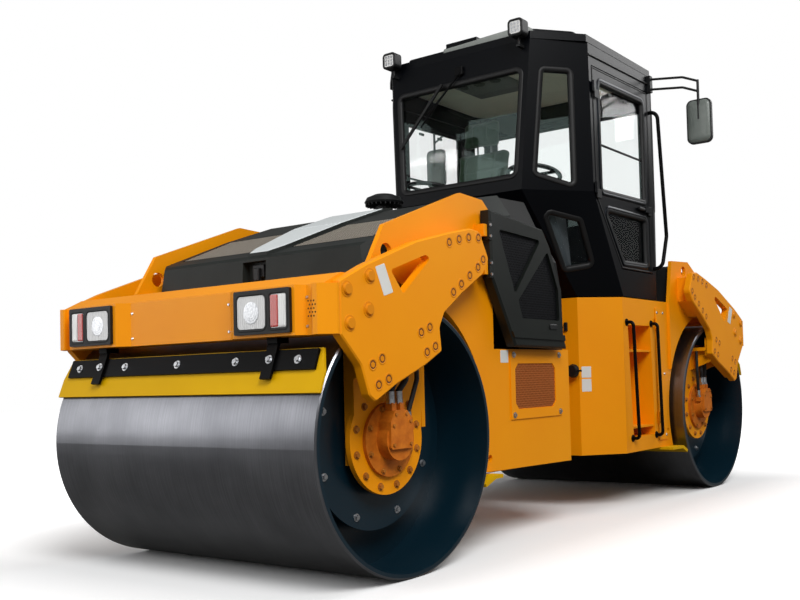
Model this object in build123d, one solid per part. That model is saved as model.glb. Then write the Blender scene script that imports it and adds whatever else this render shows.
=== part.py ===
from build123d import *
import os

# Double drum road roller, in mm. +X forward, +Y left, +Z up, origin on the ground midway between the drums.
os.makedirs("parts", exist_ok=True)

# Driving dimensions
drum_radius = 600
drum_width = 1740
drum_wall = 25
axle_x = 1800
axle_z = 600
arm_inner_y = 880
arm_outer_y = 925
side_inner_y = 775
side_outer_y = 800
arch_radius = 680
plate = 25
sheet = 12
running_gap = 0.05

# Drum running gear
bulkhead_y = 565
bulkhead_thick = 25
hub_tube_radius = 150
spindle_radius = 62
buffer_count = 8
buffer_radius = 46
buffer_circle = 330
drive_disc_radius = 405
drive_disc_y = 655
drive_disc_thick = 14
hub_boss_radius = 105
hub_boss_end_y = 692
flange_y = 700
flange_radius = 245
yoke_shelf_z = 1010
motor_radius = 128

# Centre joint
pivot_pin_radius = 55
knuckle_radius = 110
knuckle_low_z = 530
knuckle_high_z = 870
fork_thick = 45
fork_gap = 8

# Side plate details
door_hinge_z = (1400, 1590)
lift_eye_radius = 38
tie_down_radius = 18

# Cab and base
base_front_x = -255
base_front_half = 575
base_side_x = -481
cab_half = 780
base_low_z = 350
base_high_z = 1350
base_arch_radius = 640
base_rear_x = -1262
cab_low_z = 1357
waist_z = 1985
roof_seam_z = 2905
roof_brim_z = 2950
roof_high_z = 3010
cab_wall = 40
glass_thick = 6
floor_z = 1480
cab_middle = (-500, 0, 2000)
scraper_middle = (1800, 0, 600)


def slab_xz(points, y_low, y_high, radius=0):
    """A side outline, given as X and Z, between two Y planes."""
    face = make_face(Polyline(*[(x, y_low, z) for x, z in points], close=True))
    if radius:
        face = fillet(face.vertices(), radius)
    return extrude(face, amount=y_high - y_low, dir=(0, 1, 0))


def slab_xy(points, z_low, z_high, radius=0):
    """A plan outline, given as X and Y, between two Z planes."""
    face = make_face(Polyline(*[(x, y, z_low) for x, y in points], close=True))
    if radius:
        face = fillet(face.vertices(), radius)
    return extrude(face, amount=z_high - z_low, dir=(0, 0, 1))


def slab_yz(points, x_low, x_high, radius=0):
    """A front outline, given as Y and Z, between two X planes."""
    face = make_face(Polyline(*[(x_low, y, z) for y, z in points], close=True))
    if radius:
        face = fillet(face.vertices(), radius)
    return extrude(face, amount=x_high - x_low, dir=(1, 0, 0))


def block(x, y, z):
    """A block between the given low and high X, Y and Z."""
    size = (x[1] - x[0], y[1] - y[0], z[1] - z[0])
    return Pos((x[0] + x[1]) / 2, (y[0] + y[1]) / 2, (z[0] + z[1]) / 2) * Box(*size)


def disc_y(radius, y_low, y_high, x=axle_x, z=axle_z):
    """A round bar or disc along Y."""
    return Pos(x, (y_low + y_high) / 2, z) * Rot(90, 0, 0) * Cylinder(radius, y_high - y_low)


def post(radius, x, y, z_low, z_high):
    """A round bar along Z."""
    return Pos(x, y, (z_low + z_high) / 2) * Cylinder(radius, z_high - z_low)


def other_side(shape):
    """The same piece on the right of the machine."""
    return mirror(shape, about=Plane.XZ)


def both_sides(shape):
    """A left piece with its right hand twin, as two solids of one node."""
    return Compound(children=[*shape.solids(), *other_side(shape).solids()])


def other_end(shape):
    """The same piece at the rear of the machine."""
    return mirror(shape, about=Plane.YZ)


def together(*shapes):
    """Solids that share a node without touching."""
    return Compound(children=[solid for shape in shapes for solid in shape.solids()])


def bent_bar(points, radius, bend):
    """A round bar bent along a run of points, with one bend radius."""
    path = FilletPolyline(*points, radius=bend)
    return sweep(Plane(origin=path @ 0, z_dir=path % 0) * Circle(radius), path=path)


def facet(first, second, third, inside):
    """A work plane through three points of a flat face, its normal away from a point inside."""
    start = Vector(*first)
    run = Vector(*second) - start
    normal = run.cross(Vector(*third) - start)
    if normal.dot(Vector(*inside) - start) > 0:
        normal = -normal
    return Plane(origin=start, x_dir=run, z_dir=normal)


def trimmed(body, planes, inset=0):
    """What is left of a body inside every plane, each moved inwards by the inset."""
    for plane in planes:
        body = split(body, bisect_by=plane.offset(-inset), keep=Keep.BOTTOM)
    return body


def on_facet(plane, points, low, high, radius):
    """A rounded pane or opening whose corners lie near a flat face."""
    local = [plane.to_local_coords(Vector(*point)) for point in points]
    outline = make_face(Polyline(*[(point.X, point.Y) for point in local], close=True))
    outline = fillet(outline.vertices(), radius)
    return plane.offset(low) * extrude(outline, amount=high - low, dir=(0, 0, 1))


# Drums: a rolled shell, and inside it two bulkheads, the exciter tube, rubber buffers and the drive discs
def drum():
    shell = disc_y(drum_radius, -drum_width / 2, drum_width / 2)
    shell = chamfer(shell.edges().filter_by(GeomType.CIRCLE), 6)
    shell -= disc_y(drum_radius - drum_wall, -drum_width, drum_width)
    core = shell + disc_y(hub_tube_radius, -bulkhead_y, bulkhead_y)
    for side in (-1, 1):
        inner = side * (bulkhead_y - bulkhead_thick)
        outer = side * bulkhead_y
        core += disc_y(drum_radius - drum_wall, min(inner, outer), max(inner, outer))
        disc = sorted((side * (drive_disc_y - drive_disc_thick), side * drive_disc_y))
        core += disc_y(drive_disc_radius, *disc)
        boss = sorted((side * bulkhead_y, side * hub_boss_end_y))
        core += disc_y(hub_boss_radius, *boss)
        stub = sorted((side * bulkhead_y, side * (drive_disc_y - drive_disc_thick)))
        for spot in PolarLocations(buffer_circle, buffer_count, start_angle=22.5):
            centre = spot.position
            core += disc_y(buffer_radius, *stub, x=axle_x + centre.X, z=axle_z + centre.Y)
        bore = sorted((side * (bulkhead_y + 20), side * (hub_boss_end_y + 1)))
        core -= disc_y(spindle_radius + running_gap, *bore)
    return core


# Yoke: the bracket that reaches from the arm into the drum end and ends in the motor flange
def yoke():
    face = flange_y + plate
    leg = slab_xz([(1525, 1060), (2015, 1060), (2015, 600), (1560, 600)], flange_y, face)
    leg += disc_y(flange_radius, flange_y, face)
    leg += block((1660, 2015), (flange_y, arm_inner_y), (yoke_shelf_z, yoke_shelf_z + plate))
    for x_low, z_low in ((1525, 640), (1990, 500)):
        leg += block((x_low, x_low + plate), (drive_disc_y + 15, face), (z_low, 1060))
    gusset = [(face, yoke_shelf_z), (arm_inner_y, yoke_shelf_z), (arm_inner_y, 930), (face, 870)]
    for x_low in (1700, 1990):
        leg += slab_yz(gusset, x_low, x_low + plate)
    pad = [(1665, 975), (2060, 805), (2125, 925), (1800, 1105), (1665, 1105)]
    leg += slab_xz(pad, arm_inner_y - 22, arm_inner_y)
    return leg - disc_y(motor_radius + 1, flange_y - 1, face + 1)


# Travel motor: the round housing in the flange, the cast body outside it and the drum's spindle
def motor():
    body = disc_y(spindle_radius, 590, flange_y)
    body += disc_y(motor_radius, flange_y - 4, flange_y + plate)
    body += disc_y(165, flange_y + plate, flange_y + plate + 18)
    body += disc_y(92, flange_y + plate, 800)
    cover = [(1730, 560), (1730, 690), (1770, 730), (1850, 730), (1880, 680), (1880, 560)]
    body += slab_xz(cover, 743, 815, 14)
    body += block((1765, 1795), (758, 798), (725, 762))
    body += block((1820, 1850), (758, 798), (725, 762))
    body += block((1696, 1732), (760, 796), (636, 668))
    return body


# Hoses: three pressure hoses from the motor's ports up behind the arm
hose_table = [
    {"port_x": 1780, "port_z": 762, "top_x": 1745, "radius": 14},
    {"port_x": 1835, "port_z": 762, "top_x": 1815, "radius": 14},
    {"port_x": 1714, "port_z": 668, "top_x": 1665, "radius": 11},
]
hose_y = 778


def hoses():
    runs = []
    for hose in hose_table:
        points = [
            (hose["port_x"], hose_y, hose["port_z"]),
            (hose["port_x"], hose_y, hose["port_z"] + 50),
            (hose["top_x"], hose_y + 14, 862),
            (hose["top_x"], hose_y + 14, yoke_shelf_z),
        ]
        runs.append(bent_bar(points, hose["radius"], 24))
    return together(*runs)


# Arms: thick plates outside the drums, with a triangular window
arm_outline = [
    (2300, 1262), (2139, 1339), (1813, 1464), (1565, 1529), (1400, 1566), (1321, 1559), (1246, 1428),
    (1304, 1354), (1478, 1253), (1618, 1158), (1655, 1090), (1643, 985), (1767, 922), (1966, 843),
    (2100, 775), (2138, 801), (2182, 924), (2300, 1046),
]
arm_radii = [6, 200, 200, 200, 60, 30, 40, 60, 200, 40, 40, 14, 60, 60, 18, 30, 60, 6]
arm_window = [(1990, 1325), (1748, 1410), (1714, 1396), (1909, 1229)]


def arm():
    outline = FilletPolyline(*[(x, arm_inner_y, z) for x, z in arm_outline], radius=arm_radii, close=True)
    body = extrude(make_face(outline), amount=arm_outer_y - arm_inner_y, dir=(0, 1, 0))
    rim = body.faces().sort_by(Axis.Y)[-1].outer_wire().edges()
    body = chamfer(rim, 6)
    body -= slab_xz(arm_window, arm_inner_y - 1, arm_outer_y + 1, 12)
    spacer = [
        (1330, 1530), (1400, 1540), (1565, 1500), (1640, 1330), (1640, 1250), (1500, 1258), (1330, 1360),
    ]
    return body + slab_xz(spacer, side_outer_y, arm_inner_y)


# Beam: a folded cross beam between the arm ends, with raised lamp bays and a recessed middle
beam_low_z = 1050
beam_top_z = 1250
beam_rear_z = 1300
beam_face_x = 2345
bay_face_x = 2385
bay_inner_y = 400
bay_outer_y = 760


def beam():
    section = [
        (2216, beam_low_z), (beam_face_x, beam_low_z), (beam_face_x, beam_top_z), (2245, beam_rear_z),
        (2130, beam_rear_z), (2130, beam_rear_z - 15), (2241, beam_rear_z - 15),
        (beam_face_x - sheet, beam_top_z - 8), (beam_face_x - sheet, beam_low_z + sheet),
        (2216, beam_low_z + sheet),
    ]
    body = slab_xz(section, -arm_inner_y, arm_inner_y)
    bay = [
        (beam_face_x - 1, bay_inner_y - 60), (bay_face_x, bay_inner_y), (bay_face_x, bay_outer_y),
        (beam_face_x - 1, bay_outer_y + 25),
    ]
    bay_body = slab_xy(bay, beam_low_z, beam_top_z)
    corner = [
        (2300, 835), (beam_face_x + 25, 835), (beam_face_x + 25, 868), (2318, arm_outer_y),
        (2300, arm_outer_y),
    ]
    end_cap = slab_xy(corner, beam_low_z, beam_top_z, 8)
    web_outline = [
        (2216, beam_low_z), (beam_face_x, beam_low_z), (beam_face_x, beam_top_z), (2245, beam_rear_z),
        (2140, beam_rear_z),
    ]
    web = slab_xz(web_outline, arm_inner_y - 14, arm_inner_y)
    body += bay_body + end_cap + web
    return body + other_side(bay_body) + other_side(end_cap) + other_side(web)


# Lamps: a clear headlamp and a marker lamp in each black panel
def lamp_panels():
    panel = block((bay_face_x, bay_face_x + 14), (420, 745), (1062, 1242))
    panel = fillet(panel.edges().filter_by(Axis.X), 8)
    panel -= block((bay_face_x + 4, bay_face_x + 20), (438, 608), (1082, 1222))
    panel -= block((bay_face_x + 4, bay_face_x + 20), (632, 728), (1082, 1222))
    return both_sides(panel)


def lamp_glass():
    clear = block((bay_face_x + 4, bay_face_x + 12), (440, 606), (1084, 1220))
    marker = block((bay_face_x + 4, bay_face_x + 12), (634, 726), (1084, 1220))
    clear = fillet(clear.edges().filter_by(Axis.X), 20)
    marker = fillet(marker.edges().filter_by(Axis.X), 10)
    return both_sides(together(clear, marker))


# Scrapers: a blade leaning on the drum under the beam, and a second blade low on the inner side
blade_low = (2377, 0, 822)
blade_high = (2312, 0, 1000)
blade_outline = [(-878, 0), (878, 0), (878, 88), (845, 189), (-845, 189), (-878, 88)]
front_low_blade = [(1090, 380), (1165, 380), (1246, 346), (1240, 330), (1155, 362), (1090, 362)]
rear_low_blade = [(1000, 350), (1190, 350), (1258, 316), (1250, 298), (1180, 330), (1000, 334)]


def blade_face():
    return facet(blade_low, (blade_low[0], 1, blade_low[2]), blade_high, scraper_middle)


def scrapers(low_blade):
    outline = make_face(Polyline(*blade_outline, close=True))
    upper = blade_face() * extrude(outline, amount=-10, dir=(0, 0, 1))
    return together(upper, slab_xz(low_blade, -868, 868))


def scraper_bar():
    face = blade_face()
    bar = make_face(Polyline((-830, 95), (830, 95), (830, 182), (-830, 182), close=True))
    body = face * extrude(bar, amount=12, dir=(0, 0, 1))
    for side in (-1, 1):
        near = side * 545
        far = side * 605
        strap = make_face(Polyline((near, 55), (far, 55), (far, 228), (near, 228), close=True))
        body += face * (Pos(0, 0, 12) * extrude(strap, amount=12, dir=(0, 0, 1)))
        body += block((2270, 2335), sorted((near, far)), (1026, beam_low_z))
    return body


# Front frame: two side plates joined by a deck over the drum, a firewall, a floor and a rear wall
def arch(radius):
    return disc_y(radius, -1000, 1000)


front_side_outline = [
    (1998, 1300), (1998, 1342), (1878, 1545), (1301, 1765), (1113, 1755), (1048, 1703), (1043, 1580),
    (1043, 1004), (280, 1004), (280, 375), (1140, 390), (1140, 600), (1500, 1200), (1800, 1300),
]
inner = (-side_inner_y, side_inner_y)


def front_side_plates():
    side = slab_xz(front_side_outline, side_inner_y, side_outer_y) - arch(arch_radius)
    side -= block((392, 888), (side_inner_y - 1, side_outer_y + 1), (650, 982))
    for hinge_z in door_hinge_z:
        side += block((1168, 1196), (side_outer_y, 862), (hinge_z - 30, hinge_z + 30))
    for hole_x, hole_z, hole_radius in ((1868, 1425, lift_eye_radius), (1100, 455, tie_down_radius)):
        side -= disc_y(hole_radius, side_inner_y - 1, side_outer_y + 1, x=hole_x, z=hole_z)
    return both_sides(side)


def front_chassis():
    body = block((1300, 1990), inner, (1300, 1320))
    body += slab_xz([(1045, 600), (1065, 600), (1310, 1320), (1290, 1320), (1045, 900)], *inner)
    body += block((1045, 1065), inner, (392, 620))
    body += block((280, 1065), inner, (380, 400))
    body += block((280, 300), inner, (380, 1004))
    body += block((280, 420), inner, (992, 1004))
    body -= block((330, 1020), (-600, 600), (370, 410))
    for rail_x in (460, 920):
        body += block((rail_x, rail_x + 60), inner, (400, 460))
    knuckle = slab_xy([(285, -190), (285, 190), (0, 95), (0, -95)], knuckle_low_z + 60, knuckle_high_z - 60)
    knuckle += post(knuckle_radius, 0, 0, knuckle_low_z, knuckle_high_z)
    bore = post(pivot_pin_radius + running_gap, 0, 0, knuckle_low_z - 1, knuckle_high_z + 1)
    return body + knuckle - bore


# Louvres: rows of slots cut through a thin sheet, kept inside a rim
def slots(sheet_face, rim, pitch, gap, reach):
    window = offset(sheet_face, amount=-rim)
    box = window.bounding_box()
    low = box.min.Y + pitch / 2
    rows = int((box.max.Y - low) / pitch) + 1
    bars = [Pos(box.center().X, low + row * pitch) * Rectangle(box.size.X + 10, gap) for row in range(rows)]
    return extrude(Sketch() + [bar & window for bar in bars], amount=reach, both=True)


# Vent panels: a framed panel low on each side, with louvres in it
def vent_panels():
    frame = block((380, 900), (side_outer_y, side_outer_y + 6), (638, 994))
    opening = block((443, 857), (side_outer_y - 30, side_outer_y + 10), (690, 930))
    frame -= chamfer(opening.edges().filter_by(Axis.Y), 30)
    frame += block((394, 886), (side_outer_y - 6, side_outer_y), (652, 980))
    upright = Plane(origin=(650, side_outer_y, 810), x_dir=(1, 0, 0), z_dir=(0, -1, 0))
    louvres = slots(Rectangle(414, 240), 22, 20, 9, 10)
    return both_sides(frame - upright * louvres)


def engine():
    body = block((420, 1020), (-330, 330), (460, 1150))
    body += block((480, 960), (-220, 220), (1150, 1420))
    return body


# Hood: a moulded shell over the engine with two grille openings and a latch recess
hood_half = 765
hood_top_half = 640
hood_rear_x = 800
hood_middle = (1400, 0, 1600)
hood_line = [(1905, 1345), (1900, 1462), (1880, 1480), (1470, 1655), (1160, 1765), (hood_rear_x, 1838)]
hood_lower_line = [(hood_rear_x, 1700), (1030, 1690), (1310, 1560), (1800, 1345)]
hood_inside = [
    (1925, 1300), (1885, 1340), (1880, 1452), (1868, 1463), (1463, 1636), (1155, 1745),
    (hood_rear_x + 20, 1817), (hood_rear_x + 20, 1500), (1900, 1200),
]
grille_outline = [(1800, 135), (1800, 670), (1480, 650), (1462, 208)]
spine_outline = [(1880, 65), (1800, 110), (1470, 183), (1100, 200)]
spine_line = [
    (1880, 1494), (1470, 1669), (1160, 1779), (1100, 1791), (1100, 1765), (1160, 1755), (1880, 1468),
]
latch_half = 80


def hood_slopes():
    slopes = []
    for side in (-1, 1):
        start = (1905, side * hood_half, 1430)
        along = (hood_rear_x, side * (hood_half - 5), 1730)
        rise = (1740, side * (hood_top_half + 10), 1640)
        slopes.append(facet(start, along, rise, hood_middle))
    for side in (-1, 1):
        nose = (1905, side * 700, 1345)
        out = (1850, side * hood_half, 1345)
        rise = (1900, side * 675, 1470)
        slopes.append(facet(nose, rise, out, hood_middle))
    return slopes


def hood_shell():
    slopes = hood_slopes()
    outer = trimmed(slab_xz(hood_line + hood_lower_line, -hood_half, hood_half), slopes)
    shell = outer - trimmed(slab_xz(hood_inside, -hood_half + 20, hood_half - 20), slopes, 20)
    opening = slab_xy(grille_outline, 1440, 1900, 18)
    shell -= opening + other_side(opening)
    spine = slab_xy(spine_outline + [(x, -y) for x, y in reversed(spine_outline)], 1440, 1900)
    shell += spine & slab_xz(spine_line, -hood_half, hood_half)
    latch = block((1862, 1930), (-latch_half, latch_half), (1330, 1450))
    cup = slab_xz([(1890, 1347), (1846, 1347), (1846, 1482), (1890, 1465)], -latch_half - 14, latch_half + 14)
    return shell - latch + (cup - latch)


def hood_grilles():
    layer_line = [(1820, 1503), (1470, 1652), (1440, 1662), (1440, 1652), (1470, 1642), (1820, 1493)]
    panel = slab_xy(grille_outline, 1440, 1900, 26) & slab_xz(layer_line, -700, 700)
    louvres = slots(Rot(0, 0, 90) * make_face(Polyline(*grille_outline, close=True)), 24, 26, 12, 400)
    return both_sides(panel - Pos(0, 0, 1600) * Rot(0, 0, -90) * louvres)


# Cowl: the fixed housing behind the hood that carries the air cleaner cap
cowl_side = [(330, 1004), (330, 1350), (462, 1850), (790, 1838), (790, 1004)]
cowl_inside = [(350, 1000), (350, 1350), (478, 1830), (800, 1818), (800, 1000)]
cowl_half_front = [(790, 1004), (790, 1500), (700, 1690), (640, 1860)]
cowl_half_inside = [(768, 1000), (768, 1495), (680, 1680), (618, 1860)]


def cowl():
    front = cowl_half_front + [(-y, z) for y, z in reversed(cowl_half_front)]
    inside = cowl_half_inside + [(-y, z) for y, z in reversed(cowl_half_inside)]
    body = slab_xz(cowl_side, -790, 790) & slab_yz(front, 300, 800)
    body -= slab_xz(cowl_inside, -790, 790) & slab_yz(inside, 300, 810)
    window = block((480, 800), (740, 800), (1050, 1560))
    return body - window - other_side(window)


def air_cleaner():
    x = 655
    y = -230
    stem = post(52, x, y, 1846, 1925)
    profile = [(0, 0, 0), (112, 0, 0), (118, 0, 12), (104, 0, 38), (60, 0, 58), (0, 0, 64)]
    return stem + Pos(x, y, 1920) * revolve(make_face(Polyline(*profile, close=True)), Axis.Z)


# Engine doors: moulded covers on each side with two mesh fields and a diagonal rib
door_outline = [
    (1150, 1695), (640, 1652), (569, 1566), (452, 1335), (445, 1083), (411, 1008), (940, 1016),
    (1140, 1357),
]
door_hollow = [
    (1120, 1665), (655, 1625), (592, 1555), (478, 1330), (472, 1085), (455, 1036), (925, 1044),
    (1112, 1365),
]
door_fields = [
    [(1075, 1605), (668, 1588), (935, 1285)],
    [(598, 1535), (495, 1330), (488, 1160), (870, 1160), (905, 1255)],
]


def engine_door():
    body = slab_xz(door_outline, 812, 870)
    top = body.faces().sort_by(Axis.Y)[-1].outer_wire().edges()
    body = chamfer(top, 10)
    body -= slab_xz(door_hollow, 800, 850)
    body += slab_xz([(440, 1052), (960, 1062), (978, 1092), (446, 1082)], 864, 878)
    for field in door_fields:
        body -= slab_xz(field, 850, 875, 14)
        sheet_face = make_face(Polyline(*field, close=True))
        upright = Plane(origin=(0, 850, 0), x_dir=(1, 0, 0), z_dir=(0, -1, 0))
        body += upright * extrude(offset(sheet_face, amount=8, kind=Kind.INTERSECTION), amount=-5)
        body -= upright * slots(sheet_face, 12, 24, 10, 12)
    for z in door_hinge_z:
        body += block((1135, 1164), (846, 870), (z - 45, z + 45))
    return body


# Rear frame: the cab base with the ladder recess, the rear side plates and the fork of the centre joint
base_half_plan = [(base_rear_x, cab_half), (base_side_x, cab_half), (base_front_x, base_front_half)]
base_half_inside = [
    (base_rear_x + sheet, cab_half - sheet), (base_side_x - 5, cab_half - sheet),
    (base_front_x - sheet, base_front_half - 5),
]
base_plan = base_half_plan + [(x, -y) for x, y in reversed(base_half_plan)]
base_inner_plan = base_half_inside + [(x, -y) for x, y in reversed(base_half_inside)]
recess_low = [(-588, 445), (-920, 445), (-890, 1175), (-549, 1175)]
rear_side_outline = [
    (-1998, 1300), (-1998, 1342), (-1878, 1545), (-1682, 1583), (-1535, 1660), (-1240, 1645), (-1180, 1350),
    (-1180, 600), (-1500, 1200), (-1800, 1300),
]


def rear_side_plates():
    side = slab_xz(rear_side_outline, side_inner_y, side_outer_y)
    side -= disc_y(arch_radius, -1000, 1000, x=-axle_x)
    side -= disc_y(lift_eye_radius, side_inner_y - 1, side_outer_y + 1, x=-1450, z=1585)
    return both_sides(side - slab_xy(base_plan, base_low_z, base_high_z))


def rear_chassis():
    rear_arch = disc_y(base_arch_radius, -1000, 1000, x=-axle_x)
    body = slab_xy(base_plan, base_low_z, base_high_z)
    body -= slab_xy(base_inner_plan, base_low_z + sheet, base_high_z - sheet)
    walls = slab_xz([(-576, 433), (-934, 433), (-903, 1187), (-536, 1187)], 560, cab_half)
    hollow = slab_xz(recess_low, 572, cab_half + 1)
    for shape in (walls, other_side(walls)):
        body += shape
    for shape in (hollow, other_side(hollow)):
        body -= shape
    arch_wall = disc_y(base_arch_radius + sheet, -cab_half, cab_half, x=-axle_x)
    arch_wall &= block((base_rear_x, -900), (-cab_half, cab_half), (base_low_z, base_high_z))
    body += arch_wall
    body -= rear_arch
    hatch = block((-1100, -975), (cab_half - sheet - 1, cab_half + 1), (410, 1290))
    body -= hatch + other_side(hatch)
    body += block((-1990, base_rear_x), inner, (1300, 1320))
    body -= disc_y(tie_down_radius, -side_outer_y - 1, side_outer_y + 1, x=-1130, z=455)
    for step_z, step_x in ((1000, (-905, -562)), (500, (-915, -575))):
        step = block(step_x, (572, 772), (step_z, step_z + 12)) & slab_xz(recess_low, 500, 900)
        body += step
        body += other_side(step)
    for z_low in (knuckle_low_z - fork_gap - fork_thick, knuckle_high_z + fork_gap):
        fork = slab_xy([(-260, -210), (-260, 210), (0, 100), (0, -100)], z_low, z_low + fork_thick)
        fork += post(knuckle_radius - 8, 0, 0, z_low, z_low + fork_thick)
        body += fork
    low = knuckle_low_z - fork_gap - fork_thick
    high = knuckle_high_z + fork_gap + fork_thick
    return body + post(pivot_pin_radius, 0, 0, low, high) + post(80, 0, 0, high, high + 16)


def ladder_rails():
    rails = []
    for top_x, low_x in ((-532, -572), (-905, -936)):
        points = [
            (top_x, cab_half, 1190), (top_x, cab_half + 48, 1190), (low_x, cab_half + 48, 440),
            (low_x, cab_half, 440),
        ]
        rails.append(bent_bar(points, 11, 24))
    return together(*rails)


def service_hatch():
    body = block((-1106, -972), (cab_half + 1, cab_half + 7), (400, 1300))
    for z in (554, 1192):
        body += block((-1000, -960), (cab_half + 7, cab_half + 15), (z - 14, z + 14))
        body += post(9, -966, cab_half + 12, z - 40, z + 40)
    return body


# Cab: a hollow welded cab, cut for its panes and doors
def cab_planes():
    corners = {
        "front_upper": ((220, 0, waist_z), (220, 1, waist_z), (170, 0, 2935)),
        "chamfer_upper": ((220, 480, waist_z), (-138, 780, waist_z), (170, 542, 2935)),
        "front_lower": ((-255, 0, cab_low_z), (-255, 1, cab_low_z), (220, 0, waist_z)),
        "chamfer_lower": ((-255, 575, cab_low_z), (-138, 780, waist_z), (220, 480, waist_z)),
        "side": ((0, 780, 2000), (-1, 780, 2000), (0, 780, 2100)),
        "rear_corner": ((-1010, 780, 2000), (-1235, 690, 2000), (-1010, 780, 2100)),
        "rear_upper": ((-1235, 0, waist_z), (-1235, -1, waist_z), (-1190, 0, 2935)),
        "rear_lower": ((-1235, 0, waist_z), (-1087, 0, cab_low_z), (-1235, -1, waist_z)),
    }
    return {name: facet(*points, cab_middle) for name, points in corners.items()}


def flipped(plane):
    """The same face on the right of the machine."""
    origin = plane.origin
    normal = plane.z_dir
    return Plane(origin=(origin.X, -origin.Y, origin.Z), z_dir=(normal.X, -normal.Y, normal.Z))


def cab_body(inset):
    faces = cab_planes()
    upper_names = ("front_upper", "chamfer_upper", "side", "rear_corner", "rear_upper")
    lower_names = ("front_lower", "chamfer_lower", "side", "rear_corner", "rear_lower")
    upper = block((-1400, 400), (-900, 900), (waist_z, roof_seam_z))
    lower = block((-1400, 400), (-900, 900), (cab_low_z, waist_z))
    for name in upper_names:
        upper = trimmed(upper, [faces[name], flipped(faces[name])], inset)
    for name in lower_names:
        lower = trimmed(lower, [faces[name], flipped(faces[name])], inset)
    return upper + lower


pane_table = [
    {"face": "front_upper", "corner": 40, "both": False,
     "points": [(182, -480, 2730), (182, 480, 2730), (215, 438, 2072), (215, -438, 2072)]},
    {"face": "chamfer_upper", "corner": 30, "both": True,
     "points": [(121, 582, 2725), (-29, 706, 2725), (-44, 702, 2010), (156, 536, 2080)]},
    {"face": "chamfer_lower", "corner": 30, "both": True,
     "points": [(77, 540, 1870), (-118, 700, 1812), (-275, 690, 1545), (-140, 556, 1515)]},
    {"face": "rear_upper", "corner": 40, "both": False,
     "points": [(-1190, -630, 2735), (-1190, 630, 2735), (-1230, 640, 2060), (-1230, -640, 2060)]},
    {"face": "rear_corner", "corner": 30, "both": True,
     "points": [(-1050, 765, 2700), (-1175, 715, 2700), (-1185, 711, 2000), (-1050, 765, 2000)]},
]
door_hole = [(-148, 2775), (-965, 2790), (-965, 1530), (-496, 1530), (-168, 1958)]
door_panel = [(-154, 2768), (-959, 2783), (-959, 1536), (-494, 1536), (-174, 1960)]
door_upper_glass = [(-240, 2690), (-885, 2705), (-885, 2015), (-245, 2000)]
door_lower_glass = [(-275, 1895), (-885, 1900), (-885, 1580), (-525, 1575)]


def pane_solids(low, high):
    faces = cab_planes()
    solids = []
    for pane in pane_table:
        solid = on_facet(faces[pane["face"]], pane["points"], low, high, pane["corner"])
        solids.append(solid)
        if pane["both"]:
            solids.append(other_side(solid))
    return solids


def cab_frame():
    shell = cab_body(0) - cab_body(cab_wall)
    for opening in pane_solids(-60, 20):
        shell -= opening
    doorway = slab_xz(door_hole, cab_half - 80, cab_half + 5)
    shell -= doorway
    shell -= other_side(doorway)
    floor = cab_body(cab_wall) & block((-1400, 400), (-900, 900), (cab_low_z, floor_z))
    return shell + floor


def cab_roof():
    brim = [(172, 542), (-92, 782), (-1010, 782), (-1192, 700)]
    body = slab_xy(brim + [(x, -y) for x, y in reversed(brim)], roof_seam_z, roof_brim_z)
    dome = [(60, 480), (-150, 660), (-950, 660), (-1100, 600)]
    body += slab_xy(dome + [(x, -y) for x, y in reversed(dome)], roof_brim_z, roof_high_z, 60)
    return body + block((60, 130), (-120, 120), (roof_brim_z, 3020))


def cab_door():
    body = slab_xz(door_panel, cab_half - cab_wall, cab_half)
    body -= slab_xz(door_upper_glass, cab_half - 60, cab_half + 5, 30)
    body -= slab_xz(door_lower_glass, cab_half - 60, cab_half + 5, 30)
    for z in (2010, 2640):
        body += block((-200, -150), (cab_half, cab_half + 8), (z - 30, z + 30))
        body += post(9, -146, cab_half + 12, z - 34, z + 34)
    handle = block((-905, -830), (cab_half, cab_half + 26), (1940, 1975))
    return body + handle


def cab_door_glass():
    low = cab_half - cab_wall / 2 - glass_thick
    high = cab_half - cab_wall / 2
    return together(slab_xz(door_upper_glass, low, high, 30), slab_xz(door_lower_glass, low, high, 30))


def cab_glass():
    return together(*pane_solids(-cab_wall / 2 - glass_thick, -cab_wall / 2))


# Cab inside: the seat on its slide, the console and two steering columns
seat_x = -560
seat_y = -465
wheel_right_y = -430
wheel_left_y = 400
wheel_x = -60
wheel_z = 2125
wheel_radius = 165
wheel_tilt = -12


def seat_base():
    body = block((-900, -340), (-600, 600), (floor_z, 1560))
    body += block((seat_x - 170, seat_x + 200), (seat_y - 200, seat_y + 200), (1560, 1860))
    return body


def seat_cushion():
    body = block((seat_x - 190, seat_x + 290), (seat_y - 235, seat_y + 235), (1862, 1985))
    return fillet(body.edges(), 35)


def seat_back():
    back = slab_xz([(-760, 1990), (-650, 1990), (-700, 2545), (-790, 2545)], seat_y - 225, seat_y + 225, 30)
    head = slab_xz([(-800, 2550), (-705, 2550), (-715, 2765), (-790, 2765)], seat_y - 155, seat_y + 155, 25)
    return together(back, head)


def console():
    desk = [(-60, floor_z), (60, 1860), (60, 1960), (-20, 1975), (-160, 1900), (-230, floor_z)]
    faces = cab_planes()
    walls = [faces["chamfer_lower"], flipped(faces["chamfer_lower"]), faces["front_lower"]]
    body = trimmed(slab_xz(desk, -560, 560), walls, cab_wall + 6)
    for y in (wheel_right_y, wheel_left_y):
        body += column_spot(y) * Pos(0, 0, -175) * Cylinder(30, 300)
        body += column_spot(y) * Pos(0, 0, -10) * Cylinder(12, 40)
    return body


def column_spot(y):
    return Pos(wheel_x, y, wheel_z) * Rot(0, wheel_tilt, 0)


def steering_wheel(y):
    wheel = Torus(wheel_radius, 14)
    wheel += Cylinder(38, 30)
    for angle in (90, 210, 330):
        wheel += Rot(0, 0, angle) * Pos(90, 0, 0) * Box(140, 26, 10)
    wheel -= Cylinder(12 + running_gap, 60)
    return column_spot(y) * wheel


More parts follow.
